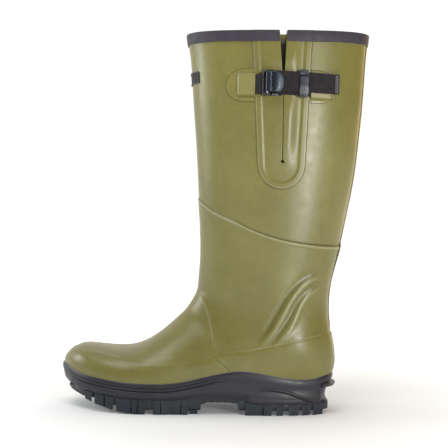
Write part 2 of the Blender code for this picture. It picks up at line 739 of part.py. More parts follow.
def make_strap():
    ribbon("strap_anchor_tab", 22.0, BUCKLE_X[0] - GAP, tab_lift, lambda x: STRAP_Z, 12)
    ribbon("strap_run", 56.0, 118.0, run_lift, run_z, 26)
    tail = ribbon("strap_tail", 55.6, TAIL_END_X, lambda x: TAIL_LIFT, tail_z, 20)
    patch("front_strap_patch", PATCH_FRONT, (21.5, 60.0), PATCH_FRONT[1], STRAP_Z)
    patch("rear_strap_patch", PATCH_REAR, (80.0, 118.5), PATCH_REAR[0], run_z(PATCH_REAR[1]))
    return tail


def arc_block(x_from, x_to, lift_from, lift_to, z_low, z_high, steps=4):
    """Points and faces of a block that follows the strap's arc."""
    corners = [(lift_from, z_low), (lift_to, z_low), (lift_to, z_high), (lift_from, z_high)]
    return bar([[strap_point(x, *corner) for corner in corners] for x in np.linspace(x_from, x_to, steps)])


def make_buckle():
    """The moulded frame with two cheeks, the steel pin through them, and the lever that turns on it."""
    low, high = STRAP_Z - BUCKLE_H / 2, STRAP_Z + BUCKLE_H / 2
    base = add("buckle_frame", *arc_block(*BUCKLE_X, 1.4, 2.4, low, high), "buckle", smooth=False)
    for name, z in (("low", low), ("high", high - CHEEK_T)):
        piece = arc_block(*BUCKLE_X, 1.4, PIN_LIFT + 1.5, z, z + CHEEK_T)
        boolean(base, add("cheek_" + name, *piece, None, smooth=False, into=CUTTERS), "UNION")
    pin = strap_point(PIN_X, PIN_LIFT, low)
    bore = cylinder("pin_bore", (pin[0], pin[1], low - 2), PIN_R + GAP, BUCKLE_H + 4, None, into=CUTTERS)
    boolean(base, bore, "DIFFERENCE")
    cylinder("buckle_pin", (pin[0], pin[1], low + 0.2), PIN_R, BUCKLE_H - 0.4, "steel")
    make_lever(pin)


def make_lever(pin):
    """A domed plate with a barrel round the pin, drawn from above and extruded upright."""
    outline = []
    for angle in np.radians(np.arange(90, 271, 30)):
        outline.append((pin[0] + BARREL_R * math.cos(angle), pin[1] + BARREL_R * math.sin(angle)))
    for x in np.linspace(PIN_X + 3, LEVER_END_X, 6):
        dome = 0.9 * math.sin(math.pi * (x - PIN_X) / (LEVER_END_X - PIN_X))
        outline.append(strap_point(x, PIN_LIFT + BARREL_R - 0.1 * (x - PIN_X) + dome, 0)[:2])
    for x in np.linspace(LEVER_END_X, PIN_X + 3, 6):
        outline.append(strap_point(x, TAIL_LIFT + WEB_T + 0.4, 0)[:2])
    drawing = bpy.data.curves.new("buckle_lever", "CURVE")
    drawing.dimensions = "2D"
    drawing.fill_mode = "BOTH"
    drawing.extrude = LEVER_H / 2 * MM
    bore = [(pin[0] + (PIN_R + GAP) * math.cos(a), pin[1] + (PIN_R + GAP) * math.sin(a))
            for a in np.radians(np.arange(0, 360, 30))]
    for points in (outline, bore):
        line = drawing.splines.new("POLY")
        line.points.add(len(points) - 1)
        for point, (x, y) in zip(line.points, points):
            point.co = ((x - pin[0]) * MM, (y - pin[1]) * MM, 0, 1)
        line.use_cyclic_u = True
    lever = bpy.data.objects.new("buckle_lever", drawing)
    lever.location = Vector((pin[0], pin[1], STRAP_Z)) * MM
    drawing.materials.append(material("buckle"))
    PARTS.objects.link(lever)


def make_keeper():
    """The clip round the webbing and the tail that keeps the tail's end down."""
    low, high = STRAP_Z - WEB_H / 2 - 4.6, STRAP_Z + WEB_H / 2 + 3.0
    outer = arc_block(*KEEPER_X, RUN_LIFT - 1.1, TAIL_LIFT + WEB_T + 1.5, low, high)
    inner = arc_block(KEEPER_X[0] - 2, KEEPER_X[1] + 2, RUN_LIFT - GAP, TAIL_LIFT + WEB_T + GAP,
                      low + 1.1, high - 1.1)
    clip = add("strap_keeper", *outer, "buckle", smooth=False)
    boolean(clip, add("keeper_opening", *inner, None, smooth=False, into=CUTTERS), "DIFFERENCE")
    return clip


# ---------------------------------------------------------------- the sole
def envelope(lift):
    """The foot as one closed solid, to hollow the midsole with."""
    grid = skin(foot_travel()[:, None], turns(), lift)
    rows, columns = grid.shape[:2]
    vertices = [tuple(p) for p in grid.reshape(-1, 3)]
    vertices.append(tuple(np.array(TOE_TIP) - (lift, 0, 0)))
    faces = grid_faces(rows, columns, True)
    last = (rows - 1) * columns
    faces += [(last + j, last + (j + 1) % columns, len(vertices) - 1) for j in range(columns)]
    faces.append(tuple(range(columns)))
    return add("foot_envelope", vertices, faces, None, into=CUTTERS)


def wall_ring(loop, share, out):
    """A ring of the midsole's wall: share 0 is the rim and share 1 the outsole; the two ends lean in."""
    ring = loop + outwards(loop) * out
    x = ring[:, 0].copy()
    ring[:, 2] = feather(x) + share * (outsole_top(x) + GAP - feather(x))
    toe_in = np.clip((-140 - x) / 22, 0, 1) * share * 7
    heel_in = np.clip((x - 118) / 14, 0, 1) * share * 5
    ring[:, 0] += toe_in - heel_in
    return ring


def make_midsole(loop):
    profile = ((0, 0), (0.12, 0.9), (0.45, 0.4), (0.8, 0.8), (1.0, -1.0))
    rings = [wall_ring(loop, share, RIM_OUT + out) for share, out in profile]
    midsole = ring_solid("midsole", rings, "midsole")
    boolean(midsole, envelope(GAP + 0.2), "DIFFERENCE")


def sole_edge(loop, x, sign):
    """The sole's edge y at x, on one side."""
    chosen = loop[loop[:, 1] * sign > 0]
    order = np.argsort(chosen[:, 0])
    return np.interp(x, chosen[order, 0], chosen[order, 1])


def prism(plan, low, high):
    """Points and faces of an upright block over a plan outline; low and high are functions of x."""
    count = len(plan)
    vertices = [(x, y, float(low(x))) for x, y in plan] + [(x, y, float(high(x))) for x, y in plan]
    faces = [tuple(range(count)), tuple(range(count, 2 * count))]
    faces += [(i, (i + 1) % count, (i + 1) % count + count, i + count) for i in range(count)]
    return vertices, faces


def lug_plans(loop, spans):
    """Plans of the edge lugs on both sides and of the middle lugs between them."""
    plans = []
    for x0, x1 in spans:
        middle = (x0 + x1) / 2
        for sign in (-1, 1):
            y0, ym, y1 = (sole_edge(loop, x, sign) - sign * 1.5 for x in (x0, middle, x1))
            reach = sign * LUG_LONG
            plans.append([(x0, y0), (middle - 2, ym), (middle - 1, ym - sign * 2.6), (middle + 1, ym - sign * 2.6),
                          (middle + 2, ym), (x1, y1), (x1 - 2, y1 - reach), (x0 + 3, y0 - reach)])
        inner = [sole_edge(loop, middle, sign) - sign * (LUG_LONG + 5) for sign in (-1, 1)]
        if inner[1] > 10:
            lean = 4.0
            plans.append([(x0 + 2 + lean, inner[0]), (x1 - 2 + lean, inner[0]), (x1 - 3, 0.0),
                          (x1 - 2 + lean, inner[1]), (x0 + 2 + lean, inner[1]), (x0 + 1, 0.0)])
    return plans


def bond_height(x):
    """Top of the outsole, just under the midsole."""
    return outsole_top(x) - GAP


def slab_low(x):
    """Underside of the outsole between its lugs."""
    return np.minimum(tread(x) + LUG_H, outsole_top(x) - 3.0)


def make_tread(name, loop, x_from, x_to, spans, extra):
    """An outsole piece: a slab under the midsole with its lugs."""
    def edges(x):
        return sole_edge(loop, x, -1) + 1.0, sole_edge(loop, x, 1) - 1.0

    slab = plank(edges, x_from, x_to, slab_low, bond_height, 17)
    slab = add(name, *slab, "outsole", smooth=False)
    lug_points, lug_faces = [], []
    for plan in lug_plans(loop, spans) + extra:
        points, faces = prism(plan, tread, lambda x: slab_low(x) + 1.5)
        lug_faces += [tuple(i + len(lug_points) for i in face) for face in faces]
        lug_points += points
    lugs = add(name + "_lugs", lug_points, lug_faces, None, smooth=False, into=CUTTERS)
    boolean(slab, lugs, "UNION")
    return slab


def make_outsoles(loop):
    toe_x = -151.0
    toe_lug = [(toe_x, -17), (toe_x - 3, 4), (toe_x, 22), (-133, 36), (-133, -30)]
    toe_lug = [(x, y * 0.92) for x, y in toe_lug]
    make_tread("forefoot_outsole", loop, -151.5, FORE_END_X, FORE_LUGS, [toe_lug])
    make_tread("heel_outsole", loop, HEEL_START_X, 126.5, HEEL_LUGS, [])

    def waist_edges(x):
        return sole_edge(loop, x, -1) + 7.0, sole_edge(loop, x, 1) - 7.0

    add("waist_plate", *plank(waist_edges, FORE_END_X + 1, HEEL_START_X - 1, lambda x: ARCH_Z, bond_height, 7),
        "outsole", smooth=False)


def make_spur(loop):
    """The ledge across the back of the heel that the other boot's toe holds down."""
    wall = wall_ring(loop, 0.45, RIM_OUT + 0.4)
    out = outwards(loop)
    sections = []
    for step in range(-SPUR_REACH, SPUR_REACH + 1):
        stand = 1.2 + 2.6 * math.cos(step / SPUR_REACH * math.pi / 2)
        profile = ((0.9, 28.0), (stand, 28.8), (stand + 0.4, 32.0), (0.9, 33.6))
        flat = [(wall[step] + out[step] * away, z) for away, z in profile]
        sections.append([(point[0], point[1], z) for point, z in flat])
    return add("kick_off_spur", *bar(sections), "midsole", smooth=False)


# ---------------------------------------------------------------- what lies under the foot
def make_inside():
    """The shank, the lasting board, the thermal sheet and the loose footbed, inside the insulation."""
    depth = LINER_FROM + LINER_T
    bottom = spline([(x, z) for x, z in zip(COLUMNS[2](TRAVEL[10:18])[::-1], COLUMNS[3](TRAVEL[10:18])[::-1])])

    def layer(name, low, high, slot):
        loop = waterline(lambda x: bottom(x) + depth + low - 1.0, -depth, 40)
        loop = loop - outwards(loop) * 2.0
        rings = []
        for rise in (low, high):
            ring = loop.copy()
            ring[:, 2] = bottom(ring[:, 0]) + depth + rise
            rings.append(ring)
        ring_solid(name, rings[::-1], slot)

    layer("insole_board", 4.4, 5.8, "board")
    layer("thermal_layer", 6.2, 7.0, "foil")
    layer("footbed", 7.4, 12.4, "footbed")
    shank = plank(lambda x: (-7, 7), -8, 62, lambda x: bottom(x) + depth + 2.6,
                  lambda x: bottom(x) + depth + 3.8, 8)
    add("shank", *shank, "steel", smooth=False)


# ---------------------------------------------------------------- build
clear_scene()
PARTS = new_collection("insulated_hunting_boot")
CUTTERS = new_collection("cutters")
make_shells()
make_liners()
make_stiffeners()
make_overlays()
make_gusset()
make_binding()
make_back_strip()
make_label()
TAIL = make_strap()
make_buckle()
hang_on_strap_axis(TAIL, make_keeper())
SOLE_LOOP = waterline(feather, 0, 72)
make_midsole(SOLE_LOOP)
make_outsoles(SOLE_LOOP)
make_spur(SOLE_LOOP)
make_inside()
place_origin()
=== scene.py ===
"""The looks of the insulated rubber hunting boot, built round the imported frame.

Lengths are in millimetres in the boot's own frame, and `world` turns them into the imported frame's metres.
The toe points to -X, the outer side with the strap faces -Y, and the treads stand on z = 0.
"""
import math

import bmesh
import bpy
import numpy as np
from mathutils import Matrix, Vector

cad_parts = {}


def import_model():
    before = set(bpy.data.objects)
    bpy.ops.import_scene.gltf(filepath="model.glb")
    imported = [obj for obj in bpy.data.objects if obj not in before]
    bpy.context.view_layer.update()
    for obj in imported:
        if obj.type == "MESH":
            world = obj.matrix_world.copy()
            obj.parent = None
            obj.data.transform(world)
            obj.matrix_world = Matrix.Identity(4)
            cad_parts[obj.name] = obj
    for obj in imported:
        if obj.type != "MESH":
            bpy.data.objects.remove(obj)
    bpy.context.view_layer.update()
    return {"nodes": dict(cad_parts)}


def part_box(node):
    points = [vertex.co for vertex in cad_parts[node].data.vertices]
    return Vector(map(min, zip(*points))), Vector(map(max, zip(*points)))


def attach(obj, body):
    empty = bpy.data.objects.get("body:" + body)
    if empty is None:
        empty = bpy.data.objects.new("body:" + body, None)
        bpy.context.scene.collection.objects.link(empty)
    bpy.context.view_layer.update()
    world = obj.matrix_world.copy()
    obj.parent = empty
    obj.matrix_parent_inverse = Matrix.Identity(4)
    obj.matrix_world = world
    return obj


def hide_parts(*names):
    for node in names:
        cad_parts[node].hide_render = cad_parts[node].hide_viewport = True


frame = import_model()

MM = 0.001
ORIGIN = np.array((0.4, -4.8, 0.0))

# ---- the upper: front x, front z, back x, back z, outer half width, inner half width, middle y, widest
# place (a share from front to back), front and back squareness. The rows run from the rim down the leg,
# round the heel and along to the toe ----
SECTIONS = [
    (-35.6, 409.0, 162.0, 409.0, 54.0, 54.0, 0.0, 0.50, 2.15, 2.10),
    (-32.4, 388.0, 160.3, 388.0, 54.0, 53.5, 0.0, 0.50, 2.15, 2.10),
    (-28.0, 343.0, 158.2, 343.0, 53.6, 53.0, 0.0, 0.50, 2.15, 2.10),
    (-23.8, 298.0, 154.9, 298.0, 52.4, 52.0, 0.0, 0.50, 2.15, 2.10),
    (-20.3, 253.0, 150.2, 253.0, 50.2, 49.8, 0.0, 0.50, 2.15, 2.10),
    (-17.2, 208.0, 142.5, 208.0, 47.0, 46.5, 0.0, 0.50, 2.15, 2.10),
    (-15.8, 176.0, 136.0, 176.0, 44.4, 43.6, 0.0, 0.50, 2.15, 2.10),
    (-16.0, 157.0, 127.6, 133.0, 42.6, 41.6, 0.0, 0.50, 2.10, 2.15),
    (-17.0, 140.0, 129.6, 88.0, 42.0, 40.6, 0.0, 0.50, 2.05, 2.20),
    (-19.6, 124.6, 131.6, 44.0, 42.4, 40.4, 0.0, 0.52, 2.00, 2.50),
    (-25.0, 114.2, 112.0, 28.0, 43.2, 40.6, 0.0, 0.56, 2.00, 2.90),
    (-36.0, 101.2, 46.0, 26.0, 44.6, 41.6, 0.0, 0.60, 2.00, 3.30),
    (-58.0, 81.2, -18.0, 22.0, 49.0, 46.0, 0.0, 0.64, 2.05, 3.40),
    (-83.0, 67.6, -66.0, 20.0, 53.6, 50.6, 0.5, 0.66, 2.15, 3.40),
    (-110.0, 65.4, -108.0, 21.5, 50.6, 49.6, 1.5, 0.66, 2.25, 3.30),
    (-127.0, 66.6, -127.0, 25.5, 43.6, 45.4, 2.5, 0.64, 2.30, 3.10),
    (-141.0, 66.6, -142.5, 30.0, 34.0, 37.6, 3.5, 0.60, 2.25, 2.90),
    (-152.0, 61.4, -153.5, 34.5, 22.4, 26.0, 4.5, 0.56, 2.15, 2.60),
    (-160.4, 52.0, -160.4, 40.0, 8.6, 10.4, 5.5, 0.50, 2.00, 2.10),
]
TOE_TIP_X = -161.6
TOE_TIP_YZ = (5.6, 45.6)
WRIST = 6                      # the section where the level sections of the leg end
RIM_Z = 409.0
SHELL_T = 2.0                  # thickness of the rubber
LINER_FROM = 4.0               # depth of the liners' outer face
LINER_T = 4.0

# ---- lines round the boot, as (x, z) in side view ----
FEATHER = [(-163, 46.4), (-154, 45.2), (-148, 42.2), (-137, 38.6), (-115, 35.6), (-95, 33.1), (-66, 31.8),
           (-38, 32.7), (-9, 39.0), (10, 43.5), (29, 46.3), (48, 45.0), (67, 41.7), (87, 38.7), (106, 38.4),
           (117, 40.5), (134, 44.4)]
ANKLE_EDGE = [(-20, 231), (-13, 224), (0, 214.5), (19, 206), (38, 197), (58, 189.5), (78, 184.5),
              (100, 181.4), (142, 179.5)]
TOE_GUARD_TOP = [(-165, 60), (-140, 63.5), (-115, 61.5), (-95, 58), (-72, 55), (-52, 54), (-20, 57),
                 (12, 62)]
HEEL_OVERLAY_TOP = [(10, 66), (38, 69), (65, 75), (86, 80), (105, 84), (135, 87)]
OUTSOLE_TOP = [(-160, 25.5), (-137, 22.5), (-110, 18.8), (-85, 16.6), (-38, 16.0), (-8, 18.5), (20, 18.5),
               (45, 13.4), (63, 12.2), (113, 12.6), (134, 13.0)]
HEEL_POD = [(34, 21), (48, 26), (60, 27.2), (72, 26), (87, 22), (101, 16), (112, 13)]
INSTEP_FOLD = [(-19, 128), (-11, 119), (-6, 110), (-2, 97), (1, 83), (4, 68), (6, 62)]
WRINKLE_LONG = [(116.2, 149.0), (104.7, 143.9), (95.3, 136.8), (88.1, 128.6), (82.0, 119.4),
                (76.9, 109.7), (71.8, 100.1), (65.8, 89.3), (57.6, 78.5), (47.2, 66.5)]
WRINKLE_SHORT = [(116.5, 136.3), (107.1, 132.3), (99.8, 125.2), (93.7, 116.0), (89.7, 106.9),
                 (85.7, 98.3), (79.6, 88.6), (71.4, 77.8), (60.0, 65.8)]
VAMP_RIDGE = [(-112, 60), (-96, 58), (-84, 56), (-68, 54), (-44, 53), (-20, 55)]

# ---- sole ----
TOE_SPRING_X = -78.0
TOE_SPRING_LEN = 74.0
TOE_SPRING_H = 19.0
TOE_SPRING_POWER = 1.42
ARCH_Z = 12.6
LUG_H = 6.5
RIM_OUT = 1.7
GROOVES = (4.6, 8.2)           # depths of the two long grooves under the sole's rim

# ---- gusset ----
GUSSET_X = 68.1
GUSSET_BOTTOM = 239.5
GUSSET_ROUND = 26.0            # height of the panel's round foot
GUSSET_HALF_W = 25.2
SLIT_X = 69.2
SLIT_HOLE_Z = 268.0
SLIT_HOLE_R = 1.7
SLIT_W = 0.55
NOTCH_TOP_W = 7.4
NOTCH_Z = 341.0
GUSSET_LEAN = 0.0177           # the gusset leans forwards by this much per millimetre of height
FOLD_HALF_W = 20.0

# ---- rim, strap and buckle ----
RIM_HALF_W = 54.0
RIM_HALF_L = 98.0
RIM_MIDDLE_X = 62.0
DIP_FROM_Z = 368.0             # the rim's dip fades in above this height
BIND_H = 11.0
BIND_T = 1.3
STRAP_Z = 349.2
WEB_H = 20.9
WEB_T = 1.3
STRAP_AXIS = (65.0, 129.0)     # x and y of the axis of the strap's arc
STRAP_R = 183.6
TAIL_LIFT = 4.6                # lifts off the arc
RUN_LIFT = 2.7
RUN_END_LIFT = 0.4
BUCKLE_X = (47.6, 66.8)
BUCKLE_H = 26.0
CHEEK_T = 1.6
PIN_X = 51.2
PIN_LIFT = 8.3
PIN_R = 1.0
BARREL_R = 2.0
LEVER_H = 20.4
LEVER_END_X = 67.6
KEEPER_X = (84.6, 93.6)
KEEPER_FACE_Z = (338.0, 357.6)
KEEPER_NOTCH_Z = 360.8
TAIL_END_X = 127.0
HEM = 4.6
PATCH_FRONT = (8.0, 38.4)
PATCH_REAR = (97.3, 125.4)
PATCH_H = 35.0
LABEL_Z = (352.0, 365.0)
LABEL_HALF_W = 24.5
STRIP_END_Z = 92.0             # where the rear tape ends above the heel
TAPE_HALF_TURN = 0.225


def world(points):
    return (np.asarray(points, float).reshape(-1, 3) - ORIGIN) * MM


# ---------------------------------------------------------------- the sky
SKY_FRONT = 0.16               # strengths
SKY_BACK = 1.06
SKY_RIGHT = (0.42, 0.27, 0.09, 1)


# ---------------------------------------------------------------- the camera
CAMERA_AT = (9.75, -1060.0, 201.4)
CAMERA_LENS = 77.4
CAMERA_ROLL = -1.5


def make_camera():
    lens = bpy.data.cameras.new("studio_camera")
    lens.lens = CAMERA_LENS
    lens.sensor_width = 36.0
    lens.clip_start, lens.clip_end = 0.05, 50.0
    camera = bpy.data.objects.new("studio_camera", lens)
    camera.location = world(CAMERA_AT)[0]
    camera.rotation_euler = (math.pi / 2, math.radians(CAMERA_ROLL), 0)
    bpy.context.scene.collection.objects.link(camera)
    bpy.context.scene.camera = camera


make_camera()


# ---------------------------------------------------------------- curves
def spline(knots):
    """A smooth curve through (where, value) knots, straight beyond its two ends."""
    xs, ys = np.array(knots, float).T
    h = np.diff(xs)
    rise = np.diff(ys) / h
    n = len(xs)
    matrix = np.eye(n)
    right = np.zeros(n)
    for i in range(1, n - 1):
        matrix[i, i - 1:i + 2] = h[i - 1], 2 * (h[i - 1] + h[i]), h[i]
        right[i] = 6 * (rise[i] - rise[i - 1])
    bend = np.linalg.solve(matrix, right)

    def at(x):
        x = np.asarray(x, float)
        i = np.clip(np.searchsorted(xs, x) - 1, 0, n - 2)
        a = np.clip((xs[i + 1] - x) / h[i], 0, 1)
        b = 1 - a
        curve = a * ys[i] + b * ys[i + 1]
        curve += ((a**3 - a) * bend[i] + (b**3 - b) * bend[i + 1]) * h[i]**2 / 6
        before = np.minimum(x - xs[0], 0) * rise[0]
        after = np.maximum(x - xs[-1], 0) * rise[-1]
        return curve + before + after
    return at


feather = spline(FEATHER)
ankle_edge = spline(ANKLE_EDGE)
toe_guard_top = spline(TOE_GUARD_TOP)
heel_overlay_top = spline(HEEL_OVERLAY_TOP)
outsole_top = spline(OUTSOLE_TOP)
heel_pod = spline(HEEL_POD)


def smooth(x):
    """0 below 0, 1 above 1, and an S between."""
    x = np.clip(x, 0, 1)
    return x * x * (3 - 2 * x)


def hump(x, width):
    """1 at 0, and close to 0 from twice the width on."""
    return np.exp(-(x / width)**2)


def quarter_round(depth, radius):
    """How far a rounded edge has risen, from 0 to 1, at a depth in from it."""
    left = 1 - np.clip(np.asarray(depth, float) / radius, 0, 1)
    return np.sqrt(1 - left**2)


def edged(low, high, step, edge):
    """Places from low to high, with close ones over a rounded edge at each end."""
    arc = edge * (1 - np.cos(np.linspace(0, math.pi / 2, 6)))
    count = max(int((high - low - 2 * edge) / step), 2)
    return np.concatenate([low + arc[:-1], np.linspace(low + edge, high - edge, count), high - arc[-2::-1]])


def tread(x):
    """Height of the treads' underside: flat on the ground, rising towards the toe."""
    ahead = np.maximum(TOE_SPRING_X - np.asarray(x, float), 0) / TOE_SPRING_LEN
    return TOE_SPRING_H * ahead**TOE_SPRING_POWER


# ---------------------------------------------------------------- the upper's surface
def section_travel():
    rows = np.array(SECTIONS)
    front = np.hypot(np.diff(rows[:, 0]), np.diff(rows[:, 1]))
    back = np.hypot(np.diff(rows[:, 2]), np.diff(rows[:, 3]))
    return np.concatenate([[0], np.cumsum((front + back) / 2)])


TRAVEL = section_travel()
COLUMNS = [spline(list(zip(TRAVEL, column))) for column in np.array(SECTIONS).T]
WRIST_S = TRAVEL[WRIST]
END_S = TRAVEL[-1]
SEAM_S = TRAVEL[11] + 4.0      # the toe guard and the heel overlay meet along this section
SEAM_GAP = 0.35                # each stops this far short of it


def upper(s, turn):
    """A point of the upper: s down the boot, turn from 0 at the front over the outer side to pi behind."""
    fx, fz, bx, bz, outer, inner, middle, widest, front_n, back_n = [column(s) for column in COLUMNS]
    c, w = np.cos(turn), np.sin(turn)
    n = np.where(c >= 0, front_n, back_n)
    r = (np.abs(c)**n + np.abs(w)**n)**(-1 / n)
    p = r * c
    along = widest - p * np.where(p > 0, widest, 1 - widest)
    half = np.where(w >= 0, outer, inner)
    x = fx + along * (bx - fx)
    z = fz + along * (bz - fz)
    y = middle - r * w * half
    return np.stack(np.broadcast_arrays(x, y, z), axis=-1)


def upper_normal(s, turn):
    ds, dt = 0.5, 0.01
    low, high = np.maximum(s - ds, 0), np.minimum(s + ds, END_S)
    down = upper(high, turn) - upper(low, turn)
    round_ = upper(s, turn + dt) - upper(s, turn - dt)
    normal = np.cross(down, round_)
    return normal / np.linalg.norm(normal, axis=-1, keepdims=True)


def waver(points):
    """The slight unevenness of a dipped and hand-laid rubber surface, in millimetres."""
    x, y, z = points[..., 0], points[..., 1], points[..., 2]
    wide = 0.20 * np.sin(z / 29 + x / 57 + 0.7) * np.sin(y / 27 + z / 83)
    return wide + 0.07 * np.sin(z / 13 - x / 21 + 2.1) * np.cos(y / 15 + 1.1)


def skin(s, turn, lift):
    """The upper's surface moved out by lift."""
    s, turn = np.broadcast_arrays(np.asarray(s, float), np.asarray(turn, float))
    base = upper(s, turn)
    return base + upper_normal(s, turn) * (np.asarray(lift) + waver(base))[..., None]


S_TABLE = np.linspace(0, WRIST_S, 400)
Z_TABLE = COLUMNS[1](S_TABLE)


def leg_s(z):
    """How far down the boot the level section at height z is."""
    return np.interp(-np.asarray(z, float), -Z_TABLE, S_TABLE)


def leg_turn(x, z):
    """The turn at which the leg's outer side has this x."""
    fx, _, bx, _, _, _, _, widest, front_n, back_n = [column(leg_s(z)) for column in COLUMNS]
    along = (x - fx) / (bx - fx)
    p = np.where(along < widest, 1 - along / widest, -(along - widest) / (1 - widest))
    n = np.where(p >= 0, front_n, back_n)
    w = (1 - np.minimum(np.abs(p), 1)**n)**(1 / n)
    return np.arctan2(w, p)


def side(x, z, lift):
    """The leg's outer side at x and z, moved out by lift."""
    x, z = np.broadcast_arrays(np.asarray(x, float), np.asarray(z, float))
    return skin(leg_s(z), leg_turn(x, z), lift)


def edge_s(turn):
    """Where each turn of the leg meets the raised edge round the ankle."""
    s = np.full(np.shape(turn), leg_s(200.0))
    for _ in range(12):
        s = leg_s(ankle_edge(upper(s, turn)[..., 0]))
    return s


def crossing(s, line, sign, lift=0.0):
    """For each section, the turn from 0 to pi at which it goes below z = line(x) on one side."""
    turns = np.linspace(0, math.pi, 361)
    points = skin(s[:, None], sign * turns, lift)
    above = points[..., 2] - line(points[..., 0])
    i = np.clip(np.argmax(above <= 0, axis=1), 1, None)
    row = np.arange(len(s))
    share = above[row, i - 1] / (above[row, i - 1] - above[row, i])
    found = turns[i - 1] + (turns[i] - turns[i - 1]) * share
    found[np.all(above > 0, axis=1)] = math.pi
    found[above[:, 0] <= 0] = 0.0
    return found


def waterline(line, lift, count):
    """The loop where the upper, moved out by lift, crosses z = line(x), from the heel over the outer side."""
    s = np.linspace(TRAVEL[8], END_S, 420)
    sides = []
    for sign in (1, -1):
        turn = crossing(s, line, sign, lift)
        kept = (turn > 0) & (turn < math.pi)
        sides.append(skin(s[kept], sign * turn[kept], lift))
    tip = [[TOE_TIP_X - lift, *TOE_TIP_YZ]] if lift >= 0 else np.zeros((0, 3))
    found = np.vstack([sides[0], tip, sides[1][::-1]])
    found = np.vstack([(found[0] + found[-1]) / 2, found])
    closed = np.vstack([found, found[:1]])
    length = np.concatenate([[0], np.cumsum(np.linalg.norm(np.diff(closed, axis=0), axis=1))])
    where = np.linspace(0, length[-1], count, endpoint=False)
    loop = np.stack([np.interp(where, length, closed[:, k]) for k in range(3)], axis=-1)
    for _ in range(max(count // 60, 1)):
        loop = (np.roll(loop, 1, axis=0) + 2 * loop + np.roll(loop, -1, axis=0)) / 4
    return loop


def outwards(loop):
    """The level outward direction at each point of a loop that starts at the heel."""
    ahead = np.roll(loop, -1, axis=0) - np.roll(loop, 1, axis=0)
    normal = np.stack([ahead[:, 1], -ahead[:, 0], np.zeros(len(loop))], axis=-1)
    normal /= np.linalg.norm(normal, axis=1, keepdims=True)
    return normal if normal[0] @ (1, 0, 0) > 0 else -normal


def strap_point(x, z, lift):
    """A point on the strap's arc, the given lift off the leg."""
    x, z, lift = np.broadcast_arrays(*(np.asarray(v, float) for v in (x, z, lift)))
    radius = STRAP_R + lift
    swing = np.arcsin((x - STRAP_AXIS[0]) / radius)
    y = STRAP_AXIS[1] - radius * np.cos(swing)
    return np.stack([STRAP_AXIS[0] + radius * np.sin(swing), y, z], axis=-1)


def line_distance(line, x, z):
    """Distance in side view to a smooth line through points, and the share of the way along it."""
    line = np.array(line, float)
    length = np.concatenate([[0], np.cumsum(np.linalg.norm(np.diff(line, axis=0), axis=1))])
    where = np.linspace(0, length[-1], 90)
    curve = np.stack([spline(list(zip(length, line[:, k])))(where) for k in (0, 1)], axis=-1)
    ahead = np.gradient(curve, axis=0)
    ahead /= np.linalg.norm(ahead, axis=1, keepdims=True)
    best = np.full(np.shape(x), 1e9)
    signed, share = np.zeros(np.shape(x)), np.zeros(np.shape(x))
    for k, (px, pz) in enumerate(curve):
        dx, dz = x - px, z - pz
        away = np.hypot(dx, dz)
        nearer = away < best
        best[nearer] = away[nearer]
        turned = np.sign(ahead[k, 0] * dz - ahead[k, 1] * dx)
        signed[nearer] = (away * turned)[nearer]
        share[nearer] = where[k] / length[-1]
    return signed, share


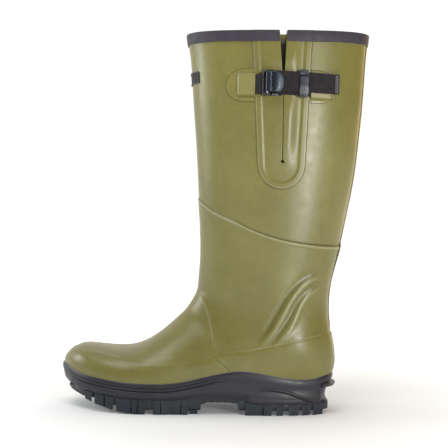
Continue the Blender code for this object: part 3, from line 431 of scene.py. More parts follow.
# ---------------------------------------------------------------- materials
class Look:
    """A procedural material, its texture coordinates in millimetres of the piece."""

    def __init__(self, name, roughness, metallic=0.0, specular=0.5, sheen=0.0):
        self.material = bpy.data.materials.new(name)
        self.material.use_nodes = True
        self.tree = self.material.node_tree
        self.shader = self.tree.nodes["Principled BSDF"]
        for socket, value in (("Roughness", roughness), ("Metallic", metallic), ("Sheen Weight", sheen),
                              ("Specular IOR Level", specular), ("Sheen Roughness", 0.6)):
            self.shader.inputs[socket].default_value = value
        self.normal = None

    def node(self, kind, **inputs):
        made = self.tree.nodes.new(kind)
        for name, value in inputs.items():
            self.feed(made.inputs[name.replace("_", " ")], value)
        return made

    def feed(self, socket, value):
        if isinstance(value, bpy.types.NodeSocket):
            self.tree.links.new(value, socket)
        else:
            socket.default_value = value

    def place(self, stretch=(1, 1, 1), uv=False):
        """Coordinates in millimetres, stretched along each axis."""
        coordinate = self.node("ShaderNodeTexCoord").outputs["UV" if uv else "Object"]
        mapped = self.node("ShaderNodeMapping", Vector=coordinate)
        mapped.inputs["Scale"].default_value = [v / (1 if uv else MM) for v in stretch]
        return mapped.outputs["Vector"]

    def noise(self, size, detail=3.0, stretch=(1, 1, 1), uv=False):
        """Noise with features about size millimetres across, from 0 to 1."""
        made = self.node("ShaderNodeTexNoise", Vector=self.place(stretch, uv), Scale=1 / size, Detail=detail)
        return made.outputs["Fac"]

    def wave(self, size, direction, uv=False):
        made = self.node("ShaderNodeTexWave", Vector=self.place(uv=uv), Scale=0.314 / size)
        made.bands_direction = direction
        return made.outputs["Fac"]

    def cells(self, size, stretch=(1, 1, 1)):
        made = self.node("ShaderNodeTexVoronoi", Vector=self.place(stretch), Scale=1 / size)
        return made.outputs["Distance"]

    def ramp(self, value, low, high, start=0.3, end=0.7):
        """Blends two colours, or two grey levels, as the value goes from start to end."""
        made = self.node("ShaderNodeValToRGB", Fac=value)
        for stop, where, colour in zip(made.color_ramp.elements, (start, end), (low, high)):
            stop.position = where
            stop.color = (*colour, 1) if isinstance(colour, tuple) else (colour, colour, colour, 1)
        return made.outputs["Color"]

    def blend(self, kind, a, b, share=1.0):
        made = self.tree.nodes.new("ShaderNodeMix")
        made.data_type = "RGBA"
        made.blend_type = kind
        self.feed(made.inputs["Factor"], share)
        self.feed(made.inputs[6], a)
        self.feed(made.inputs[7], b)
        return made.outputs[2]

    def painted_light(self):
        """The piece's painted light: how much painted shade, from 0 to 1, and how much painted highlight,
        from 0 to 1.
        """
        made = self.node("ShaderNodeAttribute")
        made.attribute_name = "painted_light"
        found = []
        for end in (-1.0, 1.0):
            part = self.node("ShaderNodeMapRange", Value=made.outputs["Fac"], From_Max=end)
            found.append(part.outputs["Result"])
        return found

    def colour(self, value):
        self.feed(self.shader.inputs["Base Color"], value)

    def roughness(self, value):
        self.feed(self.shader.inputs["Roughness"], value)

    def bump(self, height, distance, strength=1.0):
        """Adds relief of that many millimetres to the surface."""
        made = self.node("ShaderNodeBump", Height=height, Distance=distance * MM, Strength=strength)
        if self.normal is not None:
            self.feed(made.inputs["Normal"], self.normal)
        self.normal = made.outputs["Normal"]
        self.feed(self.shader.inputs["Normal"], self.normal)


def rubber_look(name, dark, light, rough, highlight_paint, grain=1.0, specular=0.5):
    """Moulded rubber: cloudy colour, scuffed gloss, fine grain, painted shade in its seams and creases, and
    painted highlights on its ridges.
    """
    look = Look(name, rough[0], specular=specular)
    cloud = look.ramp(look.noise(46, 4, (1, 1, 0.6)), dark, light, 0.32, 0.68)
    fleck = look.ramp(look.noise(1.6, 5), 0.90, 1.0, 0.35, 0.6)
    dust = look.ramp(look.noise(11, 6), 0.94, 1.04)
    own_colour = look.blend("MULTIPLY", look.blend("MULTIPLY", cloud, fleck), dust)
    # The piece's painted light: painted shade darkens the colour towards brown-grey, painted highlight blends
    # in the pale colour in patches.
    painted_shade, painted_highlight = look.painted_light()
    patchy = look.ramp(look.noise(2.4, 5), 0.35, 1.0, 0.25, 0.65)
    with_painted_shade = look.blend("MULTIPLY", own_colour, (0.22, 0.19, 0.14, 1), painted_shade)
    look.colour(look.blend("MIX", with_painted_shade, (*highlight_paint, 1), look.blend("MULTIPLY", patchy, painted_highlight)))
    look.roughness(look.ramp(look.noise(9, 6), rough[0], rough[1]))
    look.bump(look.noise(3.2, 2), 0.05 * grain, 0.5)
    look.bump(look.noise(0.42, 4), 0.03 * grain, 0.6)
    look.bump(look.cells(1.1), 0.012 * grain, 0.5)
    return look.material


def fold_look():
    """The gusset's folded sheet: olive along its top, painted black below as the shade inside the slit."""
    look = Look("gusset_fold_rubber", 0.7, specular=0.3)
    height = look.node("ShaderNodeSeparateXYZ", Vector=look.place()).outputs["Z"]
    top = look.node("ShaderNodeMapRange", Value=height, From_Min=390.0, From_Max=401.0)
    cloud = look.ramp(look.noise(9, 4), (0.12, 0.11, 0.035), (0.17, 0.16, 0.055))
    # Near black below the olive top: painted shade inside the slit.
    look.colour(look.blend("MIX", (0.004, 0.004, 0.003, 1), cloud, top.outputs["Result"]))
    look.roughness(look.ramp(look.noise(5, 4), 0.6, 0.8))
    look.bump(look.noise(0.8, 4), 0.04, 0.6)
    return look.material


def webbing_look():
    """Woven polyester webbing: ribs across, yarn grain and a soft sheen."""
    look = Look("webbing_weave", 0.8, specular=0.15, sheen=0.03)
    rib = look.wave(0.75, "DIAGONAL", uv=True)
    cloud = look.ramp(look.noise(5, 5, uv=True), (0.017, 0.014, 0.016), (0.031, 0.026, 0.029))
    look.colour(look.blend("MULTIPLY", cloud, look.ramp(rib, 0.62, 1.0, 0.1, 0.8)))
    look.roughness(look.ramp(look.noise(0.8, 4, uv=True), 0.65, 0.9))
    look.bump(rib, 0.10, 0.8)
    look.bump(look.noise(0.25, 3, uv=True), 0.05, 0.7)
    return look.material


def plastic_look():
    """Glossy moulded nylon with fine handling scratches, and a painted blue-grey highlight where the piece's
    painted light is above 0.
    """
    look = Look("buckle_nylon", 0.28)
    cloud = look.ramp(look.noise(7, 4), (0.004, 0.006, 0.010), (0.008, 0.011, 0.018))
    # Blue-grey painted highlight where the piece's painted light is above 0.
    look.colour(look.blend("MIX", cloud, (0.15, 0.20, 0.25, 1), look.painted_light()[1]))
    look.roughness(look.ramp(look.noise(2.5, 7), 0.22, 0.38))
    look.bump(look.noise(0.5, 3), 0.005, 0.5)
    look.bump(look.noise(1.2, 6, (1, 1, 0.08)), 0.004, 0.4)
    return look.material


def steel_look():
    look = Look("pin_steel", 0.25, metallic=1.0)
    look.colour(look.ramp(look.noise(2, 5), (0.42, 0.43, 0.45), (0.60, 0.61, 0.63)))
    look.roughness(look.ramp(look.noise(0.8, 5, (1, 1, 0.1)), 0.2, 0.325))
    look.bump(look.noise(0.5, 4, (1, 1, 0.1)), 0.01, 0.5)
    return look.material


def neoprene_look():
    """Jersey-faced neoprene: fine knit ribs down the leg."""
    look = Look("neoprene_jersey", 0.9, specular=0.25, sheen=0.35)
    knit = look.cells(0.9, (1, 1, 0.55))
    cloud = look.ramp(look.noise(14, 5), (0.020, 0.022, 0.024), (0.040, 0.042, 0.045))
    look.colour(look.blend("MULTIPLY", cloud, look.ramp(knit, 1.0, 0.55, 0.1, 0.6)))
    look.roughness(look.ramp(look.noise(3, 3), 0.85, 0.97))
    look.bump(knit, -0.18, 0.8)
    look.bump(look.noise(6, 3), 0.25, 0.4)
    return look.material


def footbed_look():
    look = Look("footbed_felt", 0.95, specular=0.2, sheen=0.3)
    fibre = look.noise(0.7, 7, (1, 0.35, 1))
    cloud = look.ramp(look.noise(12, 5), (0.075, 0.085, 0.095), (0.125, 0.135, 0.145))
    look.colour(look.blend("MULTIPLY", cloud, look.ramp(fibre, 0.6, 1.0)))
    look.roughness(look.ramp(fibre, 0.88, 1.0))
    look.bump(fibre, 0.20, 0.7)
    return look.material


def board_look():
    look = Look("fibre_board", 0.9, specular=0.3)
    fibre = look.noise(1.5, 7, (0.25, 1, 1))
    look.colour(look.ramp(fibre, (0.30, 0.23, 0.15), (0.50, 0.41, 0.29)))
    look.roughness(look.ramp(fibre, 0.8, 0.95))
    look.bump(fibre, 0.12, 0.6)
    return look.material


def foil_look():
    look = Look("thermal_foil", 0.3, metallic=0.85)
    look.colour(look.ramp(look.noise(4, 4), (0.62, 0.63, 0.65), (0.80, 0.81, 0.83)))
    look.roughness(look.ramp(look.noise(3, 4), 0.22, 0.42))
    look.bump(look.cells(7), 0.25, 0.7)
    return look.material


def thread_look():
    look = Look("stitch_thread", 0.65, specular=0.4, sheen=0.3)
    twist = look.noise(0.3, 4)
    look.colour(look.ramp(twist, (0.10, 0.085, 0.115), (0.23, 0.20, 0.25)))
    look.roughness(look.ramp(twist, 0.5, 0.8))
    look.bump(twist, 0.05, 0.8)
    return look.material


def label_look():
    look = Look("label_weave", 0.75, specular=0.2, sheen=0.02)
    yarn = look.wave(0.45, "Z")
    cloud = look.ramp(look.noise(4, 5), (0.030, 0.025, 0.027), (0.052, 0.044, 0.048))
    look.colour(look.blend("MULTIPLY", cloud, look.ramp(yarn, 0.75, 1.0, 0.2, 0.8)))
    look.roughness(look.ramp(look.noise(0.6, 3), 0.6, 0.85))
    look.bump(yarn, 0.08, 0.7)
    return look.material


# The pale olive of the rubber's painted highlights; in each rubber look the colour after the roughness pair
# is its painted highlight colour.
HIGHLIGHT_OLIVE = (0.42, 0.40, 0.26)
LOOKS = {
    "rubber": rubber_look("olive_rubber", (0.152, 0.136, 0.032), (0.184, 0.168, 0.043), (0.30, 0.40),
                          HIGHLIGHT_OLIVE),
    "patch": rubber_look("patch_rubber", (0.170, 0.152, 0.034), (0.200, 0.180, 0.044), (0.32, 0.42),
                         HIGHLIGHT_OLIVE),
    "fold": fold_look(),
    "binding": rubber_look("binding_rubber", (0.030, 0.025, 0.034), (0.042, 0.036, 0.047), (0.48, 0.62),
                           (0.09, 0.08, 0.09), 1.6, 0.35),
    "midsole": rubber_look("midsole_rubber", (0.015, 0.014, 0.018), (0.023, 0.021, 0.027), (0.34, 0.48),
                           (0.26, 0.26, 0.23), 1.4, 0.45),
    "outsole": rubber_look("outsole_rubber", (0.008, 0.012, 0.017), (0.014, 0.020, 0.028), (0.36, 0.52),
                           (0.06, 0.07, 0.08), 1.8, 0.45),
    "webbing": webbing_look(),
    "buckle": plastic_look(),
    "steel": steel_look(),
    "neoprene": neoprene_look(),
    "footbed": footbed_look(),
    "board": board_look(),
    "foil": foil_look(),
    "thread": thread_look(),
    "label": label_look(),
}


# ---------------------------------------------------------------- mesh helpers
SHARP_ANGLE = math.radians(38)


def rim_dip(points):
    """The rim dips on the outer side and rises a little behind; the leg follows it from above the strap."""
    x, y, z = points.T
    turn = np.arctan2(-y / RIM_HALF_W, (RIM_MIDDLE_X - x) / RIM_HALF_L)
    dip = -1.0 - 2.0 * np.cos(turn) - 3.5 * np.maximum(np.sin(turn), 0)**2
    moved = points.copy()
    moved[:, 2] += dip * smooth((z - DIP_FROM_Z) / 34)
    return moved


def piece(name, points, faces, look, slot, body="boot", replaces=(), uv=None, painted_light=None, weld=True):
    """A mesh object of the boot, welded and facing outwards, that rides on a body."""
    mesh = bpy.data.meshes.new(name)
    mesh.from_pydata(world(rim_dip(np.asarray(points, float).reshape(-1, 3))), [], faces)
    if uv is not None:
        corners = np.zeros(len(mesh.loops), int)
        mesh.loops.foreach_get("vertex_index", corners)
        layer = mesh.uv_layers.new(name="UVMap")
        layer.data.foreach_set("uv", np.asarray(uv, float).reshape(-1, 2)[corners].ravel())
    # Painted light per point: below 0 painted shade, above 0 painted highlight.
    if painted_light is not None:
        layer = mesh.attributes.new("painted_light", "FLOAT", "POINT")
        layer.data.foreach_set("value", np.asarray(painted_light, np.float32).ravel())
    tidy = bmesh.new()
    tidy.from_mesh(mesh)
    if weld:
        bmesh.ops.remove_doubles(tidy, verts=tidy.verts, dist=2e-6)
        bmesh.ops.dissolve_degenerate(tidy, dist=1e-6, edges=tidy.edges)
    bmesh.ops.recalc_face_normals(tidy, faces=tidy.faces)
    tidy.to_mesh(mesh)
    tidy.free()
    mesh.shade_smooth()
    mesh.set_sharp_from_angle(angle=SHARP_ANGLE)
    thing = bpy.data.objects.new(name, mesh)
    bpy.context.scene.collection.objects.link(thing)
    mesh.materials.append(LOOKS[look])
    if body:
        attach(thing, body)
    if replaces:
        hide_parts(*replaces)
    return thing


def grid_faces(rows, columns, wrap=False, loop=False):
    """Quads of a grid of points; wrap joins its columns round, and loop its rows."""
    i = np.arange(rows if loop else rows - 1)[:, None]
    j = np.arange(columns if wrap else columns - 1)[None, :]
    k, below = (j + 1) % columns, (i + 1) % rows
    quads = np.stack(np.broadcast_arrays(i * columns + j, i * columns + k, below * columns + k,
                                         below * columns + j), axis=-1)
    return quads.reshape(-1, 4)


def solid_faces(rows, columns, wrap=False, first_open=None, last_open=None):
    """Faces of a closed sheet whose outer grid is followed by its inner grid.

    first_open and last_open mark row steps whose first or last column has no wall, because it meets its
    mirror image there."""
    count = rows * columns
    outer = grid_faces(rows, columns, wrap)
    parts = [outer, outer[:, ::-1] + count]

    def wall(near, far):
        parts.append(np.stack([near, far, far + count, near + count], axis=-1))

    across = np.arange(columns if wrap else columns - 1)
    ahead = (across + 1) % columns
    wall(across, ahead)
    last = (rows - 1) * columns
    wall(ahead + last, across + last)
    if not wrap:
        down = np.arange(rows - 1)
        left = down if first_open is None else down[~first_open]
        right = down if last_open is None else down[~last_open]
        wall((left + 1) * columns, left * columns)
        wall(right * columns + columns - 1, (right + 1) * columns + columns - 1)
    return np.vstack(parts)


def sheet(outer, inner, wrap=False, first_open=None, last_open=None):
    """Points and faces of a closed sheet between two equal grids of points."""
    points = np.vstack([outer.reshape(-1, 3), inner.reshape(-1, 3)])
    return points, solid_faces(*outer.shape[:2], wrap, first_open, last_open).tolist()


def slab(name, outer, inner, look, slot, wrap=False, closed=None, painted_light=None, **options):
    """A closed sheet between two equal grids of points; in closed row steps its two sides meet."""
    # The outer grid's painted light goes on the inner grid too.
    if painted_light is not None:
        painted_light = np.broadcast_to(painted_light, outer.shape[:2])
        options["painted_light"] = np.concatenate([painted_light.ravel(), painted_light.ravel()])
    return piece(name, *sheet(outer, inner, wrap, closed, closed), look, slot, **options)


def loft(sections):
    """Points and faces of a solid that runs through equal outlines, closed at both ends."""
    sections = np.asarray(sections, float)
    rows, count = sections.shape[:2]
    faces = grid_faces(rows, count, wrap=True).tolist()
    faces += [list(range(count)), list(range((rows - 1) * count, rows * count))]
    return sections.reshape(-1, 3), faces


def strip_caps(rows, count):
    """Faces that close a loft's first and last ring with quads from side to side."""
    faces = []
    half = count // 2 - 1
    for start in (0, (rows - 1) * count):
        faces.append([start, start + 1, start + count - 1])
        for j in range(1, half):
            faces.append([start + j, start + j + 1, start + count - j - 1, start + count - j])
        faces.append([start + half, start + half + 1, start + count - half])
    return faces


def join(parts):
    """Several (points, faces) as one."""
    points, faces, start = [], [], 0
    for some_points, some_faces in parts:
        points.append(np.asarray(some_points, float).reshape(-1, 3))
        faces += [[i + start for i in face] for face in some_faces]
        start += len(points[-1])
    return np.vstack(points), faces


def round_corners(outline, radius, steps=4):
    """A closed flat outline with its corners rounded."""
    outline = np.asarray(outline, float)
    rounded = []
    for before, here, after in zip(np.roll(outline, 1, axis=0), outline, np.roll(outline, -1, axis=0)):
        to_before, to_after = before - here, after - here
        reach = min(radius, np.linalg.norm(to_before) * 0.49, np.linalg.norm(to_after) * 0.49)
        start = here + to_before / np.linalg.norm(to_before) * reach
        end = here + to_after / np.linalg.norm(to_after) * reach
        for t in np.linspace(0, 1, steps + 1):
            rounded.append((1 - t)**2 * start + 2 * t * (1 - t) * here + t**2 * end)
    return np.array(rounded)


def cut(target, cutter, operation="DIFFERENCE"):
    """Applies a Boolean and removes the cutter."""
    step = target.modifiers.new("Cut", "BOOLEAN")
    step.operation = operation
    step.solver = "EXACT"
    step.object = cutter
    cutter.hide_render = True
    bpy.context.view_layer.update()
    made = bpy.data.meshes.new_from_object(target.evaluated_get(bpy.context.evaluated_depsgraph_get()))
    target.modifiers.clear()
    target.data = made
    bpy.data.objects.remove(cutter)
    made.shade_smooth()
    made.set_sharp_from_angle(angle=SHARP_ANGLE)


def threads(name, stitches, radius, body, slot="webbing"):
    """Stitches as short round threads whose ends dip in."""
    parts = []
    for start, end, out in stitches:
        start, end, out = (np.asarray(v, float) for v in (start, end, out))
        along = (end - start) / np.linalg.norm(end - start)
        across = np.cross(along, out)
        rings = []
        for t, size, dip in ((0, 0.35, 0.5), (0.12, 0.9, 0.1), (0.5, 1.0, 0), (0.88, 0.9, 0.1),
                             (1, 0.35, 0.5)):
            middle = start + (end - start) * t - out * dip * radius
            ring = [middle + (across * math.cos(a) + out * math.sin(a)) * radius * size
                    for a in np.arange(6) * math.pi / 3]
            rings.append(ring)
        parts.append(loft(rings))
    points, faces = join(parts)
    return piece(name, points, faces, "thread", slot, body=body, weld=False)


# ---------------------------------------------------------------- leg and foot rubber
TUCK = 3.0                     # the leg's rubber runs this far down inside the foot's
BEAD = 1.25                    # height of the foot's top edge over the leg


def lean(z):
    """How far forwards the gusset's axis is at height z."""
    return -GUSSET_LEAN * (z - SLIT_HOLE_Z)


def slit_x(z):
    return SLIT_X + lean(z)


def slit_half(z):
    """Half the slit's width at height z: a round hole, then a hairline that opens into a notch."""
    open_ = np.clip((z - NOTCH_Z) / (RIM_Z - NOTCH_Z), 0, 1)
    straight = np.where(z > SLIT_HOLE_Z, SLIT_W / 2 + (NOTCH_TOP_W - SLIT_W) / 2 * open_, 0)
    hole = np.sqrt(np.maximum(SLIT_HOLE_R**2 - (z - SLIT_HOLE_Z)**2, 0))
    return np.maximum(straight, hole)


def slit_rows(top, foot):
    """Heights from top to foot, close together at the slit's round hole."""
    near = SLIT_HOLE_R + 0.6
    return np.concatenate([np.arange(top, SLIT_HOLE_Z + near, -1.5),
                           SLIT_HOLE_Z + near * np.cos(np.linspace(0, math.pi, 25)),
                           np.arange(SLIT_HOLE_Z - near - 1.5, foot, -1.5), [foot]])


def make_leg():
    at_slit = float(ankle_edge(SLIT_X))
    z = slit_rows(RIM_Z - 1.5, at_slit - TUCK)
    half = slit_half(z)
    right, left = leg_turn(slit_x(z) + half, z), leg_turn(slit_x(z) - half, z)
    turn = right[:, None] + (left + 2 * math.pi - right)[:, None] * np.linspace(0, 1, 321)
    first = leg_s(RIM_Z - 1.5)
    last = edge_s(turn) + TUCK
    share = (leg_s(z) - first) / (leg_s(at_slit - TUCK) - first)
    s = first + (last - first) * share[:, None]
    under = smooth((s - last + TUCK + 1.0) / 1.5)
    whole = (half[:-1] == 0) & (half[1:] == 0)
    # Painted shade darkens the leg's rubber from just above the foot's edge down into the tuck.
    slab("leg_rubber", skin(s, turn, -0.15 * under), skin(s, turn, -SHELL_T), "rubber", "rubber",
         closed=whole, painted_light=-0.7 * smooth((s - last + TUCK + 0.9) / 0.9), replaces=["shaft_shell"])


def faded(share, start, end):
    """Fades a line in over its first share and out over its last."""
    return smooth(share / start) * smooth((1 - share) / end)


def foot_relief(points):
    """The moulded and creased relief of the foot, in millimetres."""
    x, z = points[..., 0], points[..., 2]
    fold, share = line_distance(INSTEP_FOLD, x, z)
    ends = faded(share, 0.15, 0.3)
    front = np.where(fold < 0, hump(fold, 15), hump(fold, 2.6))
    relief = ends * front
    for line, height, width in ((WRINKLE_LONG, 1.5, 3.6), (WRINKLE_SHORT, 1.3, 3.2)):
        away, share = line_distance(line, x, z)
        ends = faded(share, 0.15, 0.35)
        crest = hump(away, width) - 0.6 * hump(away + 2.0 * width, width)
        relief = relief + height * ends * crest
    hollow = np.exp(-((x - 50) / 25)**2 - ((z - 110) / 28)**2)
    heel = np.exp(-((x - 92) / 24)**2 - ((z - 74) / 20)**2)
    ridge, share = line_distance(VAMP_RIDGE, x, z)
    vamp = faded(share, 0.2, 0.3) * hump(ridge, 5)
    return relief - 1.8 * hollow + 2.4 * heel + 0.55 * vamp


def edge_bead(depth):
    """Lift of the foot's rubber, a depth below its top edge."""
    rise = -0.05 + (BEAD + 0.05) * smooth(depth / 2.0 + 0.12)
    rise = rise - 0.6 * smooth((depth - 1.6) / 3.0)
    return rise - (BEAD - 0.6) * smooth((depth - 4) / 30)


def foot_painted_light(s, turn):
    """Painted highlights on the crests of the foot's rubber and painted shade in its creases."""
    points = upper(s, turn)
    x, z = points[..., 0], points[..., 2]
    depth = s - edge_s(turn)
    # A painted highlight along the edge bead's crest and painted shade in the crease right at the edge.
    painted_light = 0.75 * hump(depth - 2.2, 0.9) - 0.6 * hump(depth, 0.6)
    for line, height in ((WRINKLE_LONG, 0.5), (WRINKLE_SHORT, 0.4)):
        away, share = line_distance(line, x, z)
        ends = faded(share, 0.15, 0.3)
        painted_light = painted_light + height * ends * (hump(away, 1.6) - 0.9 * hump(away + 5.5, 2.2))
    fold, share = line_distance(INSTEP_FOLD, x, z)
    return painted_light + 0.3 * hump(fold + 0.8, 0.8) * faded(share, 0.1, 0.3)


def foot_lift(s, turn):
    """Lift of the foot's rubber: its edge and its relief."""
    depth = np.maximum(s - edge_s(turn), 0)
    return edge_bead(depth) + foot_relief(upper(s, turn))


def toe_rings(grid, reach):
    """Rings that close the toe beyond the last one, as a rounded cap."""
    last = grid[-1]
    middle = last.mean(axis=0)
    rings = []
    for angle in np.linspace(0, math.pi / 2, 7)[1:]:
        ring = middle + (last - middle) * max(math.cos(angle), 0.004)
        ring[:, 0] -= reach * math.sin(angle)
        rings.append(ring)
    return np.concatenate([grid, rings])


def make_foot():
    turn = np.linspace(0, 2 * math.pi, 400, endpoint=False)
    first = edge_s(turn)
    shares = np.concatenate([np.linspace(0, 1, 9)[:-1]**2 * 0.005, np.linspace(0.005, 0.04, 10)[:-1],
                             np.linspace(0.04, 1, 215)])
    s = first + (END_S - first) * shares[:, None]
    depth = s - first
    outer = skin(s, turn, foot_lift(s, turn))
    inner = skin(s, turn, -0.12 - (SHELL_T - 0.12) * smooth((depth - TUCK - 0.3) / 1.5))
    reach = abs(TOE_TIP_X - SECTIONS[-1][0])
    outer, inner = toe_rings(outer, reach), toe_rings(inner, reach - SHELL_T * 0.5)
    # Painted highlights and shade on the foot's rubber; none on the toe's closing rings.
    painted_light = np.zeros(outer.shape[:2])
    painted_light[:len(s)] = foot_painted_light(s, turn)
    slab("foot_rubber", outer, inner, "rubber", "rubber", wrap=True, painted_light=painted_light, replaces=["foot_shell"])


def tucked(x):
    """Where the overlays end, out of sight behind the sole's rim."""
    return feather(x) - 5.0


def overlay(name, s, top_line, seam, crisp, replaces):
    """A bonded overlay on both sides of the foot, from a line on the rubber down behind the sole's rim."""
    parts, painted_light_grids = [], []
    for sign in (1, -1):
        top = crossing(s, top_line, sign)
        low = np.maximum(crossing(s, tucked, sign), top + 1e-4)
        share = np.linspace(0, 1, 46)**1.7
        turn = top[:, None] + (low - top)[:, None] * share
        turn[low >= math.pi, -1] = math.pi
        s_grid = np.broadcast_to(s[:, None], turn.shape)
        base = upper(s_grid, sign * turn)
        step = np.linalg.norm(np.diff(base, axis=1), axis=2)
        depth = np.concatenate([np.zeros((len(s), 1)), np.cumsum(step, axis=1)], axis=1)
        front = base[:, :1]
        depth = depth + np.maximum(top_line(front[..., 0]) - front[..., 2], 0) * (top == 0)[:, None]
        from_seam = np.abs(s_grid - seam)
        sharp = crisp * smooth((base[..., 0] - 5) / 60)
        rise = 0.05 + sharp * quarter_round(depth, 0.6) + (0.95 - sharp) * smooth(depth / 8)
        rise = rise * (0.7 + 0.3 * quarter_round(from_seam, 1.2))
        under = foot_lift(s_grid, sign * turn)
        outer = skin(s_grid, sign * turn, under + rise)
        inner = skin(s_grid, sign * turn, under - 0.15)
        meet_front = (top[:-1] == 0) & (top[1:] == 0)
        meet_back = (low[:-1] >= math.pi) & (low[1:] >= math.pi)
        parts.append(sheet(outer, inner, False, meet_front, meet_back))
        # A painted highlight along the overlay's crisp top edge.
        highlight_paint = sharp * 1.5 * hump(depth - 0.9, 0.6)
        painted_light_grids += [highlight_paint + foot_painted_light(s_grid, sign * turn)] * 2
    points, faces = join(parts)
    painted_light = np.concatenate([part.ravel() for part in painted_light_grids])
    return piece(name, points, faces, "rubber", "rubber", painted_light=painted_light, replaces=replaces)


def make_overlays():
    """The heel overlay from the tape at the back to the seam, and the toe guard from there to the toe."""
    heel = np.linspace(TRAVEL[7], TRAVEL[9], 400)
    start = float(np.interp(-(heel_overlay_top(128.5) - 0.1), -COLUMNS[3](heel), heel))
    seam = SEAM_S - SEAM_GAP
    s = start + (seam - start) * np.linspace(0.004, 1, 130)**1.5
    overlay("heel_overlay_rubber", s, heel_overlay_top, seam, 0.4, ["heel_overlay"])
    seam = SEAM_S + SEAM_GAP
    s = np.linspace(seam, END_S - 1.0, 150)
    s = np.concatenate([[s[0]], s[0] + np.array((0.12, 0.3, 0.6)), s[1:]])
    overlay("toe_guard_rubber", s, toe_guard_top, seam, 0.08, ["toe_guard"])


# ---------------------------------------------------------------- gusset
def gusset_half(z):
    """Half the panel's width at height z: a round foot, then nearly straight sides."""
    rise = np.clip((z - GUSSET_BOTTOM) / GUSSET_ROUND, 0, 1)
    return (GUSSET_HALF_W + np.maximum(z - 262.0, 0) * 0.048) * np.sqrt(1 - (1 - rise)**2)


def shortfall(spare, soft):
    """How much is missing where spare is below 0, with a soft start."""
    return soft * np.log1p(np.exp(np.clip(-spare / soft, -30, 30)))


def panel_profile(away, z):
    """Height of the panel over the leg: a flat border, a channel, and a bulge towards the slit."""
    rise = 0.12 + 1.05 * quarter_round(away, 0.9)
    rise = rise - 0.95 * smooth((away - 5.6) / 3.0)
    bulge = smooth((away - 8.8) / 12.5) * smooth((z - 250) / 44)
    rise = rise + 3.1 * bulge
    spare = 1.3 + 3.0 * smooth((401 - z) / 34) - rise
    return rise - shortfall(spare, 0.5)


def make_gusset_panel():
    """The U-shaped panel, split by the slit."""
    top = RIM_Z - BIND_H + 2.0
    low = GUSSET_BOTTOM + GUSSET_ROUND * (1 - np.cos(np.linspace(0.03, math.pi / 2, 48)))
    z = np.concatenate([low[low < SLIT_HOLE_Z - 4], slit_rows(top, SLIT_HOLE_Z - 4)[::-1]])
    rim = np.linspace(0.0, math.pi / 2, 160)
    round_foot = GUSSET_BOTTOM + GUSSET_ROUND * (1 - np.cos(rim))
    outline_z = np.concatenate([round_foot, np.linspace(267, top + 20, 420)])
    outline = np.stack([gusset_half(outline_z), outline_z], axis=-1)
    parts, painted_light_grids = [], []
    for sign in (-1, 1):
        slit = slit_half(z) + np.where(slit_half(z) > 0, sign * (SLIT_X - GUSSET_X), 0)
        half = gusset_half(z)
        share = np.concatenate([[0, 0.006, 0.016, 0.03], np.linspace(0.05, 0.95, 56),
                                [0.972, 0.988, 0.997, 1]])
        u = slit[:, None] + (half - slit)[:, None] * share
        u[slit_half(z) == 0, 0] = 0.0
        z_grid = np.broadcast_to(z[:, None], u.shape)
        away = np.full(u.shape, 1e9)
        for half_there, z_there in outline:
            away = np.minimum(away, np.hypot(u - half_there, z_grid - z_there))
        x = GUSSET_X + lean(z_grid) + sign * u
        lip = quarter_round(np.abs(x - slit_x(z_grid)) - slit_half(z_grid), 0.8)
        rise = panel_profile(away, z_grid) - 0.6 * (1 - np.where(slit_half(z_grid) > 0, lip, 1.0))
        free = side(x, z_grid, rise)
        radius = np.hypot(free[..., 0] - STRAP_AXIS[0], free[..., 1] - STRAP_AXIS[1])
        room = STRAP_R + 1.3 + 3.4 * smooth((np.abs(z_grid - STRAP_Z + 1) - 11.5) / 24)
        rise = rise - shortfall(room - radius, 0.7)
        outer, inner = side(x, z_grid, rise), side(x, z_grid, 0.02 - 0.2 * (away < 0.5))
        whole = slit_half(z) == 0
        parts.append(sheet(outer, inner, False, whole[:-1] & whole[1:]))
        # Painted shade along the panel's outline, with a painted highlight line just inside it.
        painted_light = 0.3 * hump(away - 1.5, 0.7) - 0.95 * hump(away, 0.75)
        painted_light_grids += [painted_light.ravel()] * 2
    points, faces = join(parts)
    piece("gusset_panel_rubber", points, faces, "rubber", "rubber", painted_light=np.concatenate(painted_light_grids),
          replaces=["gusset_panel"])


def make_gusset_fold():
    """The folded sheet behind the slit, whose pleat shows at the bottom of the notch."""
    across = edged(-FOLD_HALF_W, FOLD_HALF_W, 0.9, 0.5)
    z = edged(SLIT_HOLE_Z - 9, RIM_Z - 3.0, 3.0, 0.5)[::-1, None]
    pleat = 0.35 * np.cos(across / FOLD_HALF_W * math.pi * 3)
    outer = side(slit_x(z) + across, z, -(SHELL_T + 0.75) + 0.3 * pleat)
    inner = side(slit_x(z) + across, z, -(SHELL_T + 1.75) + 0.3 * pleat)
    slab("gusset_fold_rubber", outer, inner, "fold", "rubber", replaces=["gusset_fold"])


